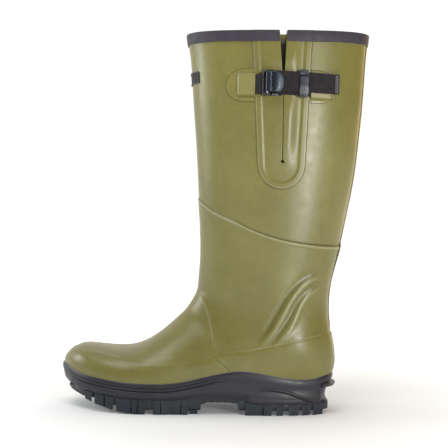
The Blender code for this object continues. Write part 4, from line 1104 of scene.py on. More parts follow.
# ---------------------------------------------------------------- rim, tape, label, patches
def make_binding():
    """The folded band over the rim, open at the notch and swelling a little over the panel."""
    outside, inside = 0.1 + BIND_T, -(LINER_FROM + LINER_T + 0.6 + BIND_T)
    low, high = RIM_Z - BIND_H, RIM_Z + 1.0
    profile = [(0.02, low), (outside, low), (outside + 0.15, low + BIND_H / 2), (outside, high),
               (inside, high), (inside, low + 1), (inside + BIND_T, low + 1), (inside + BIND_T, RIM_Z - 1.2),
               (0.02, RIM_Z - 1.2)]
    profile = round_corners(profile, 0.85, 4)
    gap = NOTCH_TOP_W / 2 + 0.3
    right, left = (float(leg_turn(slit_x(RIM_Z) + d, RIM_Z)) for d in (gap, -gap))
    turn = np.linspace(right, left + 2 * math.pi, 320)
    sections = []
    for t in turn:
        s = leg_s(np.minimum(profile[:, 1], RIM_Z))
        edge_wave = 0.18 * math.sin(9 * t) + 0.1 * math.sin(23 * t + 1)
        swell = np.where(profile[:, 0] > 0.5, 0.07 * math.sin(31 * t) * np.sin(17 * t + profile[:, 1]), 0)
        across = abs(float(upper(s[0], t)[0]) - GUSSET_X - lean(RIM_Z))
        over = 0.8 * smooth((gusset_half(RIM_Z) + 1.2 - across) / 1.6) * (math.sin(t) > 0)
        ring = skin(s, t, profile[:, 0] + swell + over * (profile[:, 0] > 0.5))
        ring[:, 2] = profile[:, 1] + edge_wave * (profile[:, 1] < RIM_Z - 5)
        sections.append(ring)
    points, faces = loft(sections)
    piece("rim_binding", points, faces, "binding", "binding", replaces=["top_binding"])


def make_rear_tape():
    """The tape over the rear seam, from under the binding to the heel overlay."""
    heel = np.linspace(TRAVEL[7], TRAVEL[9], 300)
    low_s = float(np.interp(-STRIP_END_Z, -COLUMNS[3](heel), heel))
    s = edged(leg_s(RIM_Z - BIND_H + 3), low_s, 1.6, 0.8)[:, None]
    half = TAPE_HALF_TURN
    across = edged(-half, half, 0.02, 0.022)
    turn = math.pi + across
    below = s - edge_s(turn)
    under = (BEAD + 0.1) * smooth((below + 5) / 6) * (1 - smooth((below - 2) / 30))
    relief = foot_relief(upper(s, turn)) * smooth((below - 2) / 10)
    edge = quarter_round((half - np.abs(across)) * 36, 0.7) * quarter_round(low_s - s, 0.8)
    ridge = 0.25 * hump(across, 0.022)
    outer = skin(s, turn, under + relief + 0.05 + 0.5 * edge + ridge)
    inner = skin(s, turn, np.minimum(under, 0) - 0.25)
    # Painted shade along both edges of the tape.
    painted_shade = -0.9 * hump(half - np.abs(across), 0.012)
    slab("rear_seam_tape", outer, inner, "rubber", "rubber", painted_light=painted_shade, replaces=["back_strip"])


def make_label():
    """A blank woven label with a raised border, bonded across the front."""
    middle, half_h = sum(LABEL_Z) / 2, (LABEL_Z[1] - LABEL_Z[0]) / 2
    half_turn = math.asin(LABEL_HALF_W / RIM_HALF_W)
    u = edged(-1, 1, 0.02, 0.03)
    v = edged(-1, 1, 0.04, 0.08)[:, None]
    squeeze = (1 - np.abs(u)**16)**(1 / 16)
    z = middle + v * half_h * np.maximum(squeeze, 0.55)
    from_edge = np.minimum((1 - np.abs(u)) * LABEL_HALF_W, (1 - np.abs(v)) * half_h)
    frame_rise = 0.45 * (1 - smooth((from_edge - 1.5) / 0.5))
    rise = 0.15 + 0.65 * quarter_round(from_edge, 0.5) + frame_rise
    rise = rise + 0.05 * np.sin(v * half_h * 7) * (from_edge > 2.2)
    turn = np.broadcast_to(u * half_turn, z.shape)
    slab("front_label_weave", skin(leg_s(z), turn, rise), skin(leg_s(z), turn, -0.05), "label", "binding",
         replaces=["front_label"])
    stitches = []
    corners = [(-1, -1), (1, -1), (1, 1), (-1, 1)]
    for (u0, v0), (u1, v1) in zip(corners, corners[1:] + corners[:1]):
        steps = 26 if v0 == v1 else 7
        ends = np.linspace(0, 1, steps + 1)
        for a, b in zip(ends[:-1] + 0.12 / steps, ends[1:] - 0.22 / steps):
            spots = []
            for t in (a, b):
                tu, tv = (u0 + (u1 - u0) * t) * 0.955, (v0 + (v1 - v0) * t) * 0.86
                spots.append((leg_s(middle + tv * half_h), tu * half_turn))
            points = [skin(*spot, 1.28) for spot in spots]
            stitches.append((points[0], points[1], upper_normal(*spots[0])))
    threads("front_label_stitches", stitches, 0.22, "boot", "binding")


def patch(name, x_range, web_range, flat_side, web_z, replaces):
    """A rubber patch with one round side, swelling over the webbing's end that it covers."""
    wide = x_range[1] - x_range[0]
    x = edged(*x_range, 0.45, 0.4)
    from_flat = np.abs(x - flat_side)
    roundness = (np.maximum(from_flat / wide - 0.25, 0) / 0.75)**2.4
    half = (PATCH_H / 2) * np.sqrt(np.maximum(1 - roundness, 0.012))
    v = edged(-1, 1, 0.028, 0.03)[:, None]
    z = STRAP_Z - 1.5 + v * half
    outline = np.concatenate([np.stack([x, STRAP_Z - 1.5 + sign * half], -1) for sign in (-1, 1)])
    away = np.full(z.shape, 1e9)
    for px, pz in outline:
        away = np.minimum(away, np.hypot(x - px, z - pz))
    round_side = x_range[0] if flat_side == x_range[1] else x_range[1]
    away = np.minimum(away, np.abs(x - round_side))
    past_x = np.maximum(np.maximum(web_range[0] - x, x - web_range[1]), 0)
    past = np.hypot(past_x, np.maximum(np.abs(z - web_z) - WEB_H / 2 - 0.4, 0))
    over = 1 - smooth(past / 1.5)[..., None]
    groove = hump(past - 1.9, 0.5)
    rise = 0.1 + 0.75 * quarter_round(away, 0.6) + 0.15 * smooth((away - 1.2) / 1.2) - 0.3 * groove
    web_top = RUN_END_LIFT + WEB_T
    outer = side(x, z, rise) * (1 - over) + strap_point(x, z, web_top + 0.75) * over
    inner = side(x, z, -0.05) * (1 - over) + strap_point(x, z, web_top + 0.15) * over
    crest = hump(past - 0.5, 0.5)
    # Painted shade along the outline and in the groove, and a painted highlight on the upper part of the
    # webbing end's crest.
    painted_light = -0.95 * hump(away, 0.6) - 0.35 * groove + 0.35 * crest * (z > web_z - WEB_H / 2)
    slab(name, outer, inner, "patch", "rubber", painted_light=painted_light, replaces=replaces)


# ---------------------------------------------------------------- webbing
def run_z(x):
    return STRAP_Z - 1.0 - 1.2 * np.clip((x - BUCKLE_X[1]) / 30.0, 0, 1)


def tail_z(x):
    return STRAP_Z + 2.5 - 1.1 * np.clip((x - BUCKLE_X[1]) / 50.0, 0, 1)


def run_lift(x):
    return RUN_LIFT + (RUN_END_LIFT - RUN_LIFT) * smooth((x - 94.8) / 2.4)


def tab_lift(x):
    return RUN_END_LIFT + (RUN_LIFT - RUN_END_LIFT) * smooth((x - 37.0) / 6.0)


def ribbon(name, x_from, x_to, lift, middle, body, replaces, thick=None):
    """Woven webbing along the strap's arc, with ribs across it and a rounded selvedge."""
    x = edged(x_from, x_to, 0.32, 0.35)
    v = edged(-WEB_H / 2, WEB_H / 2, 0.42, 0.5)[:, None]
    edge = quarter_round(WEB_H / 2 - np.abs(v), 0.6) * quarter_round(np.minimum(x - x_from, x_to - x), 0.4)
    selvedge = smooth((WEB_H / 2 - np.abs(v) - 0.8) / 0.5)
    rib = np.sin(2 * math.pi * (x / 1.5 + np.abs(v) / 1.9)) * selvedge
    cord = 0.12 * np.cos(2 * math.pi * v / (WEB_H / 5)) * selvedge
    full = WEB_T if thick is None else thick(x)
    z = middle(x) + v
    top = lift(x) + full - 0.08 + (0.075 * rib + 0.2 * cord - 0.6 * (1 - edge))
    low = lift(x) + 0.08 - (0.05 * rib - 0.45 * (1 - edge))
    outer, inner = strap_point(x, z, top), strap_point(x, z, low)
    flat = np.stack(np.broadcast_arrays(x, v), axis=-1)
    return slab(name, outer, inner, "webbing", "webbing", body=body, replaces=replaces,
                uv=np.concatenate([flat.reshape(-1, 2)] * 2))


def make_strap():
    """The tab in front of the buckle, the fixed run behind it, the loose tail over it and the two patches."""
    ribbon("strap_tab_webbing", 22.0, BUCKLE_X[0] - 0.3, tab_lift, lambda x: STRAP_Z - 1.0, "boot",
           ["strap_anchor_tab"])
    ribbon("strap_run_webbing", 56.0, 118.0, run_lift, run_z, "boot", ["strap_run"])
    ribbon("strap_tail_webbing", 55.6, TAIL_END_X, lambda x: TAIL_LIFT, tail_z, "tail", ["strap_tail"],
           lambda x: WEB_T + 0.9 * smooth((x - TAIL_END_X + HEM) / 0.8))
    stitches = []
    heights = np.linspace(-WEB_H / 2 + 1.2, WEB_H / 2 - 1.2, 13)
    for i, (low, high) in enumerate(zip(heights[:-1], heights[1:])):
        lean_by = 1.3 if i % 2 else -1.3
        middle = TAIL_END_X - HEM / 2
        spots = [(middle - lean_by, tail_z(middle) + low), (middle + lean_by, tail_z(middle) + high)]
        ends = [strap_point(x, z, TAIL_LIFT + WEB_T + 1.0) for x, z in spots]
        stitches.append((ends[0], ends[1], (0, -1, 0)))
    for low, high in zip(heights[:-1], heights[1:]):
        spots = [(TAIL_END_X - HEM + 0.5, tail_z(TAIL_END_X) + h) for h in (low + 0.15, high - 0.15)]
        ends = [strap_point(x, z, TAIL_LIFT + WEB_T + 0.75) for x, z in spots]
        stitches.append((ends[0], ends[1], (0, -1, 0)))
    threads("tail_hem_stitches", stitches, 0.34, "tail")
    patch("front_patch_rubber", PATCH_FRONT, (21.5, 60.0), PATCH_FRONT[1], STRAP_Z - 1.0,
          ["front_strap_patch"])
    patch("rear_patch_rubber", PATCH_REAR, (80.0, 118.5), PATCH_REAR[0], float(run_z(PATCH_REAR[1])),
          ["rear_strap_patch"])


# ---------------------------------------------------------------- buckle
def on_arc(outline, z):
    """An outline drawn as (x, lift) put on the strap's arc at height z."""
    return strap_point(outline[:, 0], z, outline[:, 1])


def upright(outline, low, high, edge):
    """A solid with an (x, lift) outline between two heights, its two ends rounded."""
    middle = outline.mean(axis=0)
    reach = np.linalg.norm(outline - middle, axis=1, keepdims=True)
    sections = []
    for t in (0, 0.12, 0.35, 0.7, 1.0):
        shrink = edge * (1 - math.sin(math.acos(1 - t)))
        sections.append((low + edge * t, outline - (outline - middle) / reach * shrink))
    ends = sections + [(high + low - z, ring) for z, ring in sections[::-1]]
    return loft([on_arc(ring, z) for z, ring in ends])


def make_buckle():
    """The frame: a base plate under the webbing, two cheeks that hold the pin, and a bar in front."""
    low, high = STRAP_Z - BUCKLE_H / 2, STRAP_Z + BUCKLE_H / 2
    x0, x1 = BUCKLE_X
    base = round_corners([(x0, 1.4), (x1, 1.4), (x1, 2.4), (x0, 2.4)], 0.45)
    cheek = round_corners([(x0 - 0.6, 1.4), (x1 - 1.0, 1.4), (x1 - 1.6, 3.6), (x1 - 4.5, 5.4),
                           (PIN_X + 4.6, 6.6), (PIN_X + 2.2, PIN_LIFT + 1.9),
                           (PIN_X - 2.2, PIN_LIFT + 1.9), (x0 - 0.4, 6.4)], 1.5, 6)
    bar = round_corners([(x0 - 1.6, 2.0), (x0 + 0.4, 2.0), (x0 + 0.4, 6.8), (x0 - 1.6, 6.2)], 0.95, 6)
    parts = [upright(base, low + 0.5, high - 0.5, 0.4), upright(cheek, low, low + CHEEK_T + 0.6, 0.5),
             upright(cheek, high - CHEEK_T - 0.6, high, 0.5), upright(bar, low + 0.8, high - 0.8, 0.3)]
    points, faces = join(parts)
    piece("buckle_frame_nylon", points, faces, "buckle", "buckle", replaces=["buckle_frame"], weld=False)


def make_pin():
    """A steel pin with domed heads just inside the cheeks' outer faces."""
    middle = strap_point(PIN_X, 0, PIN_LIFT)
    low, high = STRAP_Z - BUCKLE_H / 2, STRAP_Z + BUCKLE_H / 2
    around = np.arange(28) * 2 * math.pi / 28
    rings = []
    for z, radius in ((low - 0.25, 0.15), (low - 0.2, 0.8), (low, 1.3), (low + 0.25, 1.45), (low + 0.4, 1.45),
                      (low + 0.45, PIN_R), (high - 0.45, PIN_R), (high - 0.4, 1.45), (high - 0.25, 1.45),
                      (high, 1.3), (high + 0.2, 0.8), (high + 0.25, 0.15)):
        rings.append(np.stack([middle[0] + radius * np.cos(around), middle[1] + radius * np.sin(around),
                               np.full(28, z)], axis=-1))
    points, faces = loft(rings)
    piece("buckle_hinge_pin", points, faces, "steel", "steel", replaces=["buckle_pin"])


def lever_outline(z):
    """The lever's section at height z: a barrel round the pin and a domed plate with a bowed rear end."""
    off = abs(z - STRAP_Z - 1.0) / (LEVER_H / 2)
    end = LEVER_END_X + 0.8 - 4.6 * off**2.6
    start = PIN_X + 2.6
    top, under = [], []
    for share in np.linspace(0, 1, 26):
        x = start + (end - start) * share
        crown = 1.25 * math.sin(math.pi * min(share * 1.02, 1)) * (1 - 0.35 * off**2)
        rib = 0.7 * math.exp(-((x - start - 0.9) / 0.55)**2)
        dip = 0.9 * math.exp(-((x - start - 2.5) / 0.7)**2)
        fall = 2.2 * smooth((share - 0.72) / 0.28)
        top.append((x, PIN_LIFT + BARREL_R - 0.05 * (x - PIN_X) + crown + rib - dip - fall))
        under.append((x, TAIL_LIFT + WEB_T + 0.6))
    barrel = [(PIN_X + BARREL_R * math.cos(a), PIN_LIFT + BARREL_R * math.sin(a))
              for a in np.radians(np.arange(270, 89, -15))]
    return np.array(barrel + top + under[::-1])


def make_lever():
    low, high = STRAP_Z - LEVER_H / 2 + 1.0, STRAP_Z + LEVER_H / 2 + 1.0
    sections, painted_light_grids = [], []
    for z in edged(low, high, 0.9, 0.8):
        outline = lever_outline(z)
        # A painted highlight over the plate's rear and a painted highlight line near the barrel, on the outer
        # face only.
        on_top = outline[:, 1] > PIN_LIFT - 0.5
        back = smooth((outline[:, 0] - PIN_X - 7) / 9) * 0.55
        line = 0.5 * hump(outline[:, 0] - PIN_X - 3.5, 0.4)
        painted_light_grids.append((back + line) * on_top)
        middle = outline.mean(axis=0)
        depth = min(z - low, high - z)
        shrink = 1 - 0.10 * (1 - float(quarter_round(depth, 0.8)))
        sections.append(on_arc(middle + (outline - middle) * (1, shrink), z))
    points, faces = loft(sections)
    piece("buckle_lever_nylon", points, faces, "buckle", "buckle", body="lever", painted_light=np.concatenate(painted_light_grids),
          replaces=["buckle_lever"])


def make_keeper():
    """The clip round both layers of webbing, with a raised glossy face and a notch above it."""
    low, high = STRAP_Z - WEB_H / 2 - 3.4, STRAP_Z + WEB_H / 2 + 4.1
    wall = 1.1
    out_lift = TAIL_LIFT + WEB_T + wall
    outlines = []
    for under, over, z0, z1, radius in (
            (RUN_LIFT - wall, out_lift, low, high, 1.2),
            (RUN_LIFT - 0.3, TAIL_LIFT + WEB_T + 0.35, low + wall, high - wall, 0.4)):
        face = [(over, z) for z in np.linspace(z0, z1, 44)]
        outlines.append(round_corners([(under, z0)] + face + [(under, z1)], radius, 3))
    outer, inner = outlines
    middle = outer.mean(axis=0)
    centre = sum(KEEPER_X) / 2
    places = edged(*KEEPER_X, 0.4, 0.7)
    rings = []
    for x in places:
        depth = min(x - KEEPER_X[0], KEEPER_X[1] - x)
        back = 0.7 * (1 - float(quarter_round(depth, 0.7)))
        ring = middle + (outer - middle) * (1 - back / np.linalg.norm(outer - middle, axis=1, keepdims=True))
        front = smooth((ring[:, 0] - out_lift + 1.2) / 1.0)
        z = ring[:, 1]
        face_low, face_high = KEEPER_FACE_Z
        bump = smooth((z - face_low) / 9.0) * smooth((face_high - z) / 1.0)
        notch = smooth((z - face_high) / 0.8) * smooth((KEEPER_NOTCH_Z - z) / 0.8)
        notch = notch * math.exp(-((x - centre) / 3.0)**6)
        ring[:, 0] += (bump - 0.5 * notch) * front
        rings.append((x, ring))
    rings += [(x, inner) for x in places[::-1]]
    points = np.array([strap_point(x, ring[:, 1], ring[:, 0]) for x, ring in rings])
    piece("strap_keeper_nylon", points.reshape(-1, 3), grid_faces(*points.shape[:2], wrap=True, loop=True),
          "buckle", "buckle", body="keeper", replaces=["strap_keeper"])


# ---------------------------------------------------------------- the sole
LOOP = waterline(feather, 0, 600)
LOOP_OUT = outwards(LOOP)
wall_bulge = spline([(0, 0), (0.12, 0.9), (0.45, 0.4), (0.8, 0.8), (1, -1)])


def wall_point(depth, share_below):
    """A ring of the sole's wall: depth below its rim, then a share of what is left below that."""
    x = LOOP[:, 0]
    top = feather(x)
    bottom = outsole_top(x)
    z = top - depth - share_below * (top - depth - bottom)
    share = (top - z) / (top - bottom)
    fade = 1 - smooth((x + 2) / 26)
    out = RIM_OUT + wall_bulge(share)
    for groove in GROOVES:
        out = out - 0.85 * fade * hump(top - z - groove, 0.55)
        out = out + 0.22 * fade * hump(top - z - groove - 1.3, 0.7)
    inside = smooth((x - 34) / 8) * (1 - smooth((x - 106) / 10))
    out = out + 1.9 * inside * smooth((heel_pod(x) - z + 0.4) / 1.6) * (1 - 0.75 * smooth((15.5 - z) / 5))
    out = out + 1.4 * inside * smooth((share - 0.78) / 0.22)
    out = out - 0.5 * inside * hump(heel_pod(x) - z + 1.2, 1.0)
    ring = LOOP + LOOP_OUT * out[:, None]
    heel_in = 8.5 * smooth(share / 0.8) - 2.0 * smooth((share - 0.75) / 0.25)
    ring[:, 0] += np.clip((-140 - x) / 22, 0, 1) * share**2.2 * 6 - np.clip((x - 116) / 14, 0, 1) * heel_in
    ring[:, 2] = z
    return ring


def make_midsole():
    rings = [LOOP + LOOP_OUT * out + (0, 0, z) for out, z in
             ((-7.0, -0.4), (-2.6, 0.1), (0.0, 0.35), (RIM_OUT - 0.5, 0.4), (RIM_OUT - 0.15, 0.25))]
    rings += [wall_point(depth, 0) for depth in np.arange(0.1, 10.01, 0.3)]
    rings += [wall_point(10.0, share) for share in np.linspace(0, 1, 34)[1:]]
    last = rings[-1]
    for inwards in (1.5, 7.0):
        rings.append(last - LOOP_OUT * inwards + (0, 0, 0.3))
    count = len(LOOP)
    faces = grid_faces(len(rings), count, wrap=True).tolist() + strip_caps(len(rings), count)
    # A painted highlight along the rim's lip, stronger towards the heel.
    painted_light = np.zeros((len(rings), count))
    painted_light[2:6] = np.array((0.35, 0.8, 0.9, 0.3))[:, None] * (0.45 + 0.55 * smooth((LOOP[:, 0] + 10) / 40))
    midsole = piece("midsole_rubber", np.vstack(rings), faces, "midsole", "midsole", painted_light=painted_light,
                    replaces=["midsole"])
    turn = np.linspace(0, 2 * math.pi, 120, endpoint=False)
    s = np.linspace(TRAVEL[8], END_S, 90)
    grid = toe_rings(skin(s[:, None], turn, -1.2), 0.6)
    points, faces = loft(grid)
    cut(midsole, piece("foot_envelope", points, faces, "midsole", "", body=None))
    return midsole


def sole_edge(x, sign):
    """The sole's edge y at x, on one side."""
    chosen = LOOP[LOOP[:, 1] * sign > 0]
    order = np.argsort(chosen[:, 0])
    return np.interp(x, chosen[order, 0], chosen[order, 1])


def slab_low(x):
    """Underside of the outsole between its blocks."""
    return np.minimum(tread(x) + LUG_H - 2.0, outsole_top(x) - 3.0)


FORE_LUGS = [(-133.5, -124.5, ()), (-122.5, -100.8, (-111.0,)), (-98.6, -67.0, (-82.6, -75.2)),
             (-60.3, -22.2, (-52.0, -30.0))]
HEEL_LUGS = [(36.5, 66.0, (56.4,)), (69.8, 78.0, ()), (83.0, 95.0, ()), (97.2, 107.6, ()), (109.6, 121.5, ())]
LUG_IN = 18.0                  # how far an edge lug reaches in from the edge
MIDDLE_IN = 1.15               # and its middle this many times as far
LUG_PROUD = 1.3                # an edge lug stands this far outside the slab


def lug(plan, low, high):
    """A tread block over a plan outline, its sides leaning in and its ground edge rounded."""
    plan = np.asarray(plan, float)
    middle = plan.mean(axis=0)
    reach = np.linalg.norm(plan - middle, axis=1, keepdims=True)
    rings = []
    draft, edge = 0.9, 0.7
    for rise, back in ((0, draft + edge), (0.12, draft + edge * 0.45), (0.35, draft + edge * 0.15),
                       (0.9, draft), (None, 0)):
        ring = plan - (plan - middle) / reach * back
        z = high(ring[:, 0]) if rise is None else low(ring[:, 0]) + rise
        rings.append(np.column_stack([ring, z]))
    return loft(rings)


def edge_lug(x0, x1, notches, sign):
    """An edge block that follows the sole's outline, with slots cut into its outer face."""
    outline = [(x, sole_edge(x, sign) + sign * LUG_PROUD) for x in np.linspace(x0, x1, 13)]
    for notch in notches:
        outline = [p for p in outline if abs(p[0] - notch) > 1.1]
        y = sole_edge(notch, sign) + sign * LUG_PROUD
        outline += [(notch - 0.8, y), (notch - 0.6, y - sign * 2.4), (notch + 0.6, y - sign * 2.4),
                    (notch + 0.8, y)]
    outline.sort(key=lambda p: p[0])
    reach = sign * LUG_IN
    middle = outline[len(outline) // 2]
    return outline + [(x1 - 2.5, outline[-1][1] - reach), ((x0 + x1) / 2, middle[1] - reach * MIDDLE_IN),
                      (x0 + 2.5, outline[0][1] - reach)]


def middle_lugs(x0, x1):
    """A pair of chevron bars between the edge blocks."""
    centre = (x0 + x1) / 2
    gap = 4.0
    inset = LUG_PROUD - LUG_IN * MIDDLE_IN - gap
    left, right = (sole_edge(centre, sign) + sign * inset for sign in (-1, 1))
    if right - left < 12:
        return []
    point = (left + right) / 2
    bars = [(x0, x1)] if x1 - x0 < 16 else [(x0, centre - 2.2), (centre + 2.2, x1)]
    return [[(a + 2.5, left), (b + 1.5, left), (b - 2.5, point), (b + 1.5, right), (a + 2.5, right),
             (a - 1.5, point)] for a, b in bars]


def make_tread(name, x_from, x_to, spans, extra, replaces):
    """An outsole piece: a slab that wraps the sole's edge, with its blocks."""
    sections = []
    for x in np.linspace(x_from, x_to, 72):
        y0, y1 = sole_edge(x, -1) + 0.1, sole_edge(x, 1) - 0.1
        low, high = float(slab_low(x)), float(outsole_top(x)) + 0.6
        ring = [(y0 + 3.0, low), (y1 - 3.0, low), (y1 - 0.6, low + 1.6), (y1 + 0.5, high - 1.0), (y1, high),
                (y0, high), (y0 - 0.5, high - 1.0), (y0 + 0.6, low + 1.6)]
        sections.append([(x, y, z) for y, z in ring])
    points, faces = loft(sections)
    body = piece(name, points, faces, "outsole", "outsole", replaces=replaces)

    def high(x):
        return slab_low(x) + 1.5

    def edge_high(x):
        return outsole_top(x) - 0.9

    parts = []
    for x0, x1, notches in spans:
        parts += [lug(edge_lug(x0, x1, notches, sign), tread, edge_high) for sign in (-1, 1)]
        parts += [lug(plan, tread, high) for plan in middle_lugs(x0, x1)]
    parts += [lug(plan, tread, high) for plan in extra]
    points, faces = join(parts)
    cut(body, piece(name + "_lugs", points, faces, "outsole", "", body=None, weld=False), "UNION")


def make_outsoles():
    toe = [(-152.0, -14.0), (-154.5, 4.5), (-152.0, 20.0), (-143.0, 30.0), (-134.5, 37.0), (-134.5, 8.0),
           (-137.5, 4.0), (-134.5, 0.0), (-134.5, -29.0), (-143.0, -23.0)]
    y0, y1 = (sole_edge(-18.0, sign) + sign * (LUG_PROUD - 4) for sign in (-1, 1))
    step = [[(-22.0, y0), (-12.5, y0 + 2), (-12.5, y0 + 13), (-22.0, y0 + 15)],
            [(-22.0, y1), (-12.5, y1 - 2), (-12.5, y1 - 13), (-22.0, y1 - 15)]]
    make_tread("forefoot_tread", -152.5, -10.0, FORE_LUGS, [toe] + step, ["forefoot_outsole"])
    make_tread("heel_tread", 30.0, 127.0, HEEL_LUGS, [], ["heel_outsole"])


def make_waist():
    """The thin waist between the treads, with chevron bars moulded across it."""
    x = edged(-11.5, 31.5, 0.5, 0.5)
    v = edged(-1, 1, 0.03, 0.03)[:, None]
    y0, y1 = sole_edge(x, -1) + 2.2, sole_edge(x, 1) - 2.2
    y = (y0 + y1) / 2 + v * (y1 - y0) / 2
    arch = ARCH_Z - 1.2 * smooth((x - 18) / 14) - 2.6 * smooth((-2 - x) / 10)
    bars = smooth(np.sin((x + 9 * np.abs(v)) / 7.5 * 2 * math.pi) * 2.2)
    border = smooth((1 - np.abs(v)) * 6)
    low = arch - bars * border + (1 - quarter_round((1 - np.abs(v)) * 30, 1.5))
    outer = np.stack(np.broadcast_arrays(x, y, low), axis=-1)
    inner = np.stack(np.broadcast_arrays(x, y, outsole_top(x) + 0.8), axis=-1)
    slab("waist_tread", outer, inner, "outsole", "outsole", replaces=["waist_plate"])


def make_spur():
    """The ledge across the back of the heel that the other boot's toe holds down."""
    reach = 27
    wall = wall_point(0, 0.45) + LOOP_OUT * 0.2
    sections = []
    for step in range(-reach, reach + 1):
        stand = 2.0 + 5.6 * math.cos(step / reach * math.pi / 2)**0.8
        profile = round_corners([(-2.5, 28.2), (stand * 0.85, 29.4), (stand + 0.6, 32.6),
                                 (stand * 0.55, 33.0), (-2.5, 34.8)], 0.9, 4)
        sections.append([(*(wall[step] + LOOP_OUT[step] * away)[:2], z) for away, z in profile])
    points, faces = loft(sections)
    piece("heel_kick_off_spur", points, faces, "midsole", "midsole", replaces=["kick_off_spur"])


# ---------------------------------------------------------------- inside
def liner_folds(s, turn):
    """The soft unevenness of the liners' faces."""
    return 0.35 * np.sin(s / 17 + 2 * np.sin(turn * 3)) * np.sin(turn * 5 + s / 41)


def make_liners():
    turn = np.linspace(0, 2 * math.pi, 240, endpoint=False)
    s = edged(leg_s(RIM_Z - 3.2), WRIST_S - 0.3, 3.0, 1.2)[:, None]
    first, last = s[0, 0], s[-1, 0]
    edge = quarter_round(np.minimum(s - first, last - s), 1.6)
    soft = liner_folds(s, turn)
    seam = 0.8 * hump(turn - math.pi, 0.045)
    outer = skin(s, turn, -LINER_FROM - 0.7 * (1 - edge))
    inner = skin(s, turn, -LINER_FROM - LINER_T + 1.2 * (1 - edge) + 0.5 + 0.5 * soft - seam)
    leg = slab("leg_liner_neoprene", outer, inner, "neoprene", "neoprene", wrap=True, replaces=["leg_liner"])
    s = np.linspace(WRIST_S + 0.3, END_S, 120)[:, None]
    edge = quarter_round(s - WRIST_S - 0.3, 1.6)
    soft = liner_folds(s, turn)
    outer = toe_rings(skin(s, turn, -LINER_FROM - 0.7 * (1 - edge)), 0.2)
    depth = np.minimum(LINER_FROM + LINER_T, 4.6 + (END_S - s) * 0.2)
    inner = toe_rings(skin(s, turn, -depth + 1.2 * (1 - edge) + 0.25 * soft), 0.1)
    foot = slab("foot_liner_neoprene", outer, inner, "neoprene", "neoprene", wrap=True,
                replaces=["foot_liner"])


def make_footbed():
    """The loose footbed: felt over foam, with a raised heel cup."""
    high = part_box("footbed")[1][2] / MM
    x_low, x_high = (v[0] / MM + ORIGIN[0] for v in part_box("footbed"))
    depth = LINER_FROM + LINER_T
    bottom = spline(list(zip(COLUMNS[2](TRAVEL[10:18])[::-1], COLUMNS[3](TRAVEL[10:18])[::-1])))
    loop = waterline(lambda x: bottom(x) + depth + 6.4, -depth, 240)
    loop = loop - outwards(loop) * 2.4
    rings = []
    centre = np.zeros_like(loop)
    centre[:, 0], centre[:, 1] = np.clip(loop[:, 0], -120, 85), 3.5
    for inwards, rise in ((0.04, 7.6), (0.0, 8.4), (0.0, 11.4), (0.015, 12.2), (0.05, 12.4), (0.12, 12.1),
                          (0.3, 11.6), (0.6, 11.3), (0.96, 11.2)):
        ring = loop + (centre - loop) * inwards
        cup = 1.6 * smooth((ring[:, 0] - 60) / 40) * (1 - inwards)**2 * (rise > 9)
        ring[:, 2] = np.minimum(bottom(np.clip(loop[:, 0], x_low, x_high)) + depth + rise + cup, high + 1.5)
        rings.append(ring)
    faces = grid_faces(len(rings), len(loop), wrap=True).tolist() + strip_caps(len(rings), len(loop))
    pad = piece("footbed_felt", np.vstack(rings), faces, "footbed", "footbed", replaces=["footbed"])


def finish_hidden():
    """Fibre board, foil and steel inside the boot keep their frame shapes and get their real finishes."""
    for node, look in (("toe_puff", "board"), ("heel_counter", "board"), ("insole_board", "board"),
                       ("thermal_layer", "foil"), ("shank", "steel")):
        thing = frame["nodes"][node]
        thing.data.materials.clear()
        thing.data.materials.append(LOOKS[look])


# ---------------------------------------------------------------- studio
def make_floor():
    """A pale paper floor that brightens to white away from the boot."""
    mesh = bpy.data.meshes.new("studio_floor")
    radii = np.concatenate([[0.05], np.geomspace(0.1, 14.0, 24)])
    around = np.linspace(0, 2 * math.pi, 64, endpoint=False)
    grid = np.stack([np.outer(radii, np.cos(around)), np.outer(radii, np.sin(around)),
                     np.zeros((len(radii), 64))], axis=-1)
    faces = grid_faces(len(radii), 64, wrap=True).tolist() + [list(range(64))]
    mesh.from_pydata(grid.reshape(-1, 3), [], faces)
    floor = bpy.data.objects.new("studio_floor", mesh)
    bpy.context.scene.collection.objects.link(floor)
    look = Look("studio_paper", 0.95, specular=0.05)
    look.colour(look.ramp(look.noise(220, 3), 0.80, 0.84))
    distance = look.node("ShaderNodeVectorMath", Vector=look.node("ShaderNodeTexCoord").outputs["Object"])
    distance.operation = "LENGTH"
    glow = look.node("ShaderNodeMapRange", Value=distance.outputs["Value"], From_Min=0.15, From_Max=0.8,
                     To_Min=0.10, To_Max=0.75)
    look.feed(look.shader.inputs["Emission Strength"], glow.outputs["Result"])
    mesh.materials.append(look.material)


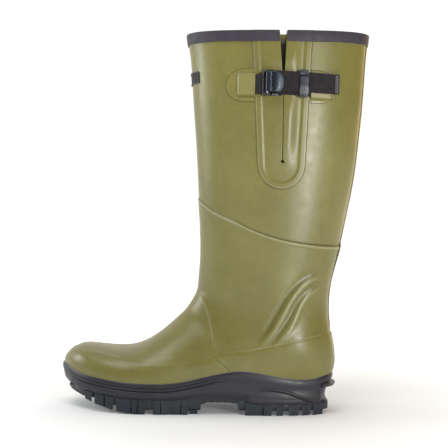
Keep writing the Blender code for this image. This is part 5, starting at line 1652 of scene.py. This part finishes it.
def make_sky():
    """White behind the boot, dimmer in front of it, and brown off to its right."""
    sky = bpy.data.worlds.new("studio")
    sky.use_nodes = True
    nodes, links = sky.node_tree.nodes, sky.node_tree.links
    parts = nodes.new("ShaderNodeSeparateXYZ")
    links.new(nodes.new("ShaderNodeTexCoord").outputs["Generated"], parts.inputs["Vector"])
    level = nodes.new("ShaderNodeMapRange")
    links.new(parts.outputs["Y"], level.inputs["Value"])
    for name, value in (("From Min", -0.45), ("From Max", 0.45), ("To Min", SKY_FRONT), ("To Max", SKY_BACK)):
        level.inputs[name].default_value = value
    links.new(level.outputs["Result"], nodes["Background"].inputs["Strength"])
    warm = nodes.new("ShaderNodeMapRange")
    links.new(parts.outputs["X"], warm.inputs["Value"])
    warm.inputs["From Min"].default_value, warm.inputs["From Max"].default_value = 0.30, 0.75
    tint = nodes.new("ShaderNodeMix")
    tint.data_type = "RGBA"
    tint.inputs["A"].default_value = (1, 1, 1, 1)
    tint.inputs["B"].default_value = SKY_RIGHT
    links.new(warm.outputs["Result"], tint.inputs["Factor"])
    links.new(tint.outputs["Result"], nodes["Background"].inputs["Color"])
    bpy.context.scene.world = sky


def softbox(name, at, target, size, power, tint=(1, 1, 1)):
    light = bpy.data.lights.new(name, "AREA")
    light.shape = "RECTANGLE"
    light.size, light.size_y = size
    light.energy = power
    light.color = tint
    lamp = bpy.data.objects.new(name, light)
    lamp.location = at
    lamp.rotation_euler = (Vector(target) - Vector(at)).to_track_quat("-Z", "Y").to_euler()
    bpy.context.scene.collection.objects.link(lamp)


def make_studio():
    bpy.context.scene.view_settings.view_transform = "Standard"
    make_sky()
    softbox("left_strip", (-1.30, 0.10, 0.60), (0.0, 0.0, 0.35), (0.45, 0.55), 6.5, (0.93, 0.98, 1.0))
    softbox("right_rim", (1.1, 1.0, 0.5), (0.1, 0.0, 0.2), (0.3, 1.2), 3.0, (1.0, 0.72, 0.35))
    softbox("overhead", (-0.35, -0.60, 1.5), (0.0, 0.0, 0.15), (0.9, 0.7), 9.5)
    softbox("front_right", (0.68, -1.05, 0.26), (0.09, 0.0, 0.10), (0.22, 0.45), 8.0)


for make in (make_leg, make_foot, make_overlays, make_gusset_panel, make_gusset_fold, make_binding,
             make_rear_tape, make_label, make_strap, make_buckle, make_pin, make_lever, make_keeper,
             make_midsole, make_outsoles, make_waist, make_spur, make_liners, make_footbed, finish_hidden,
             make_floor, make_studio):
    make()
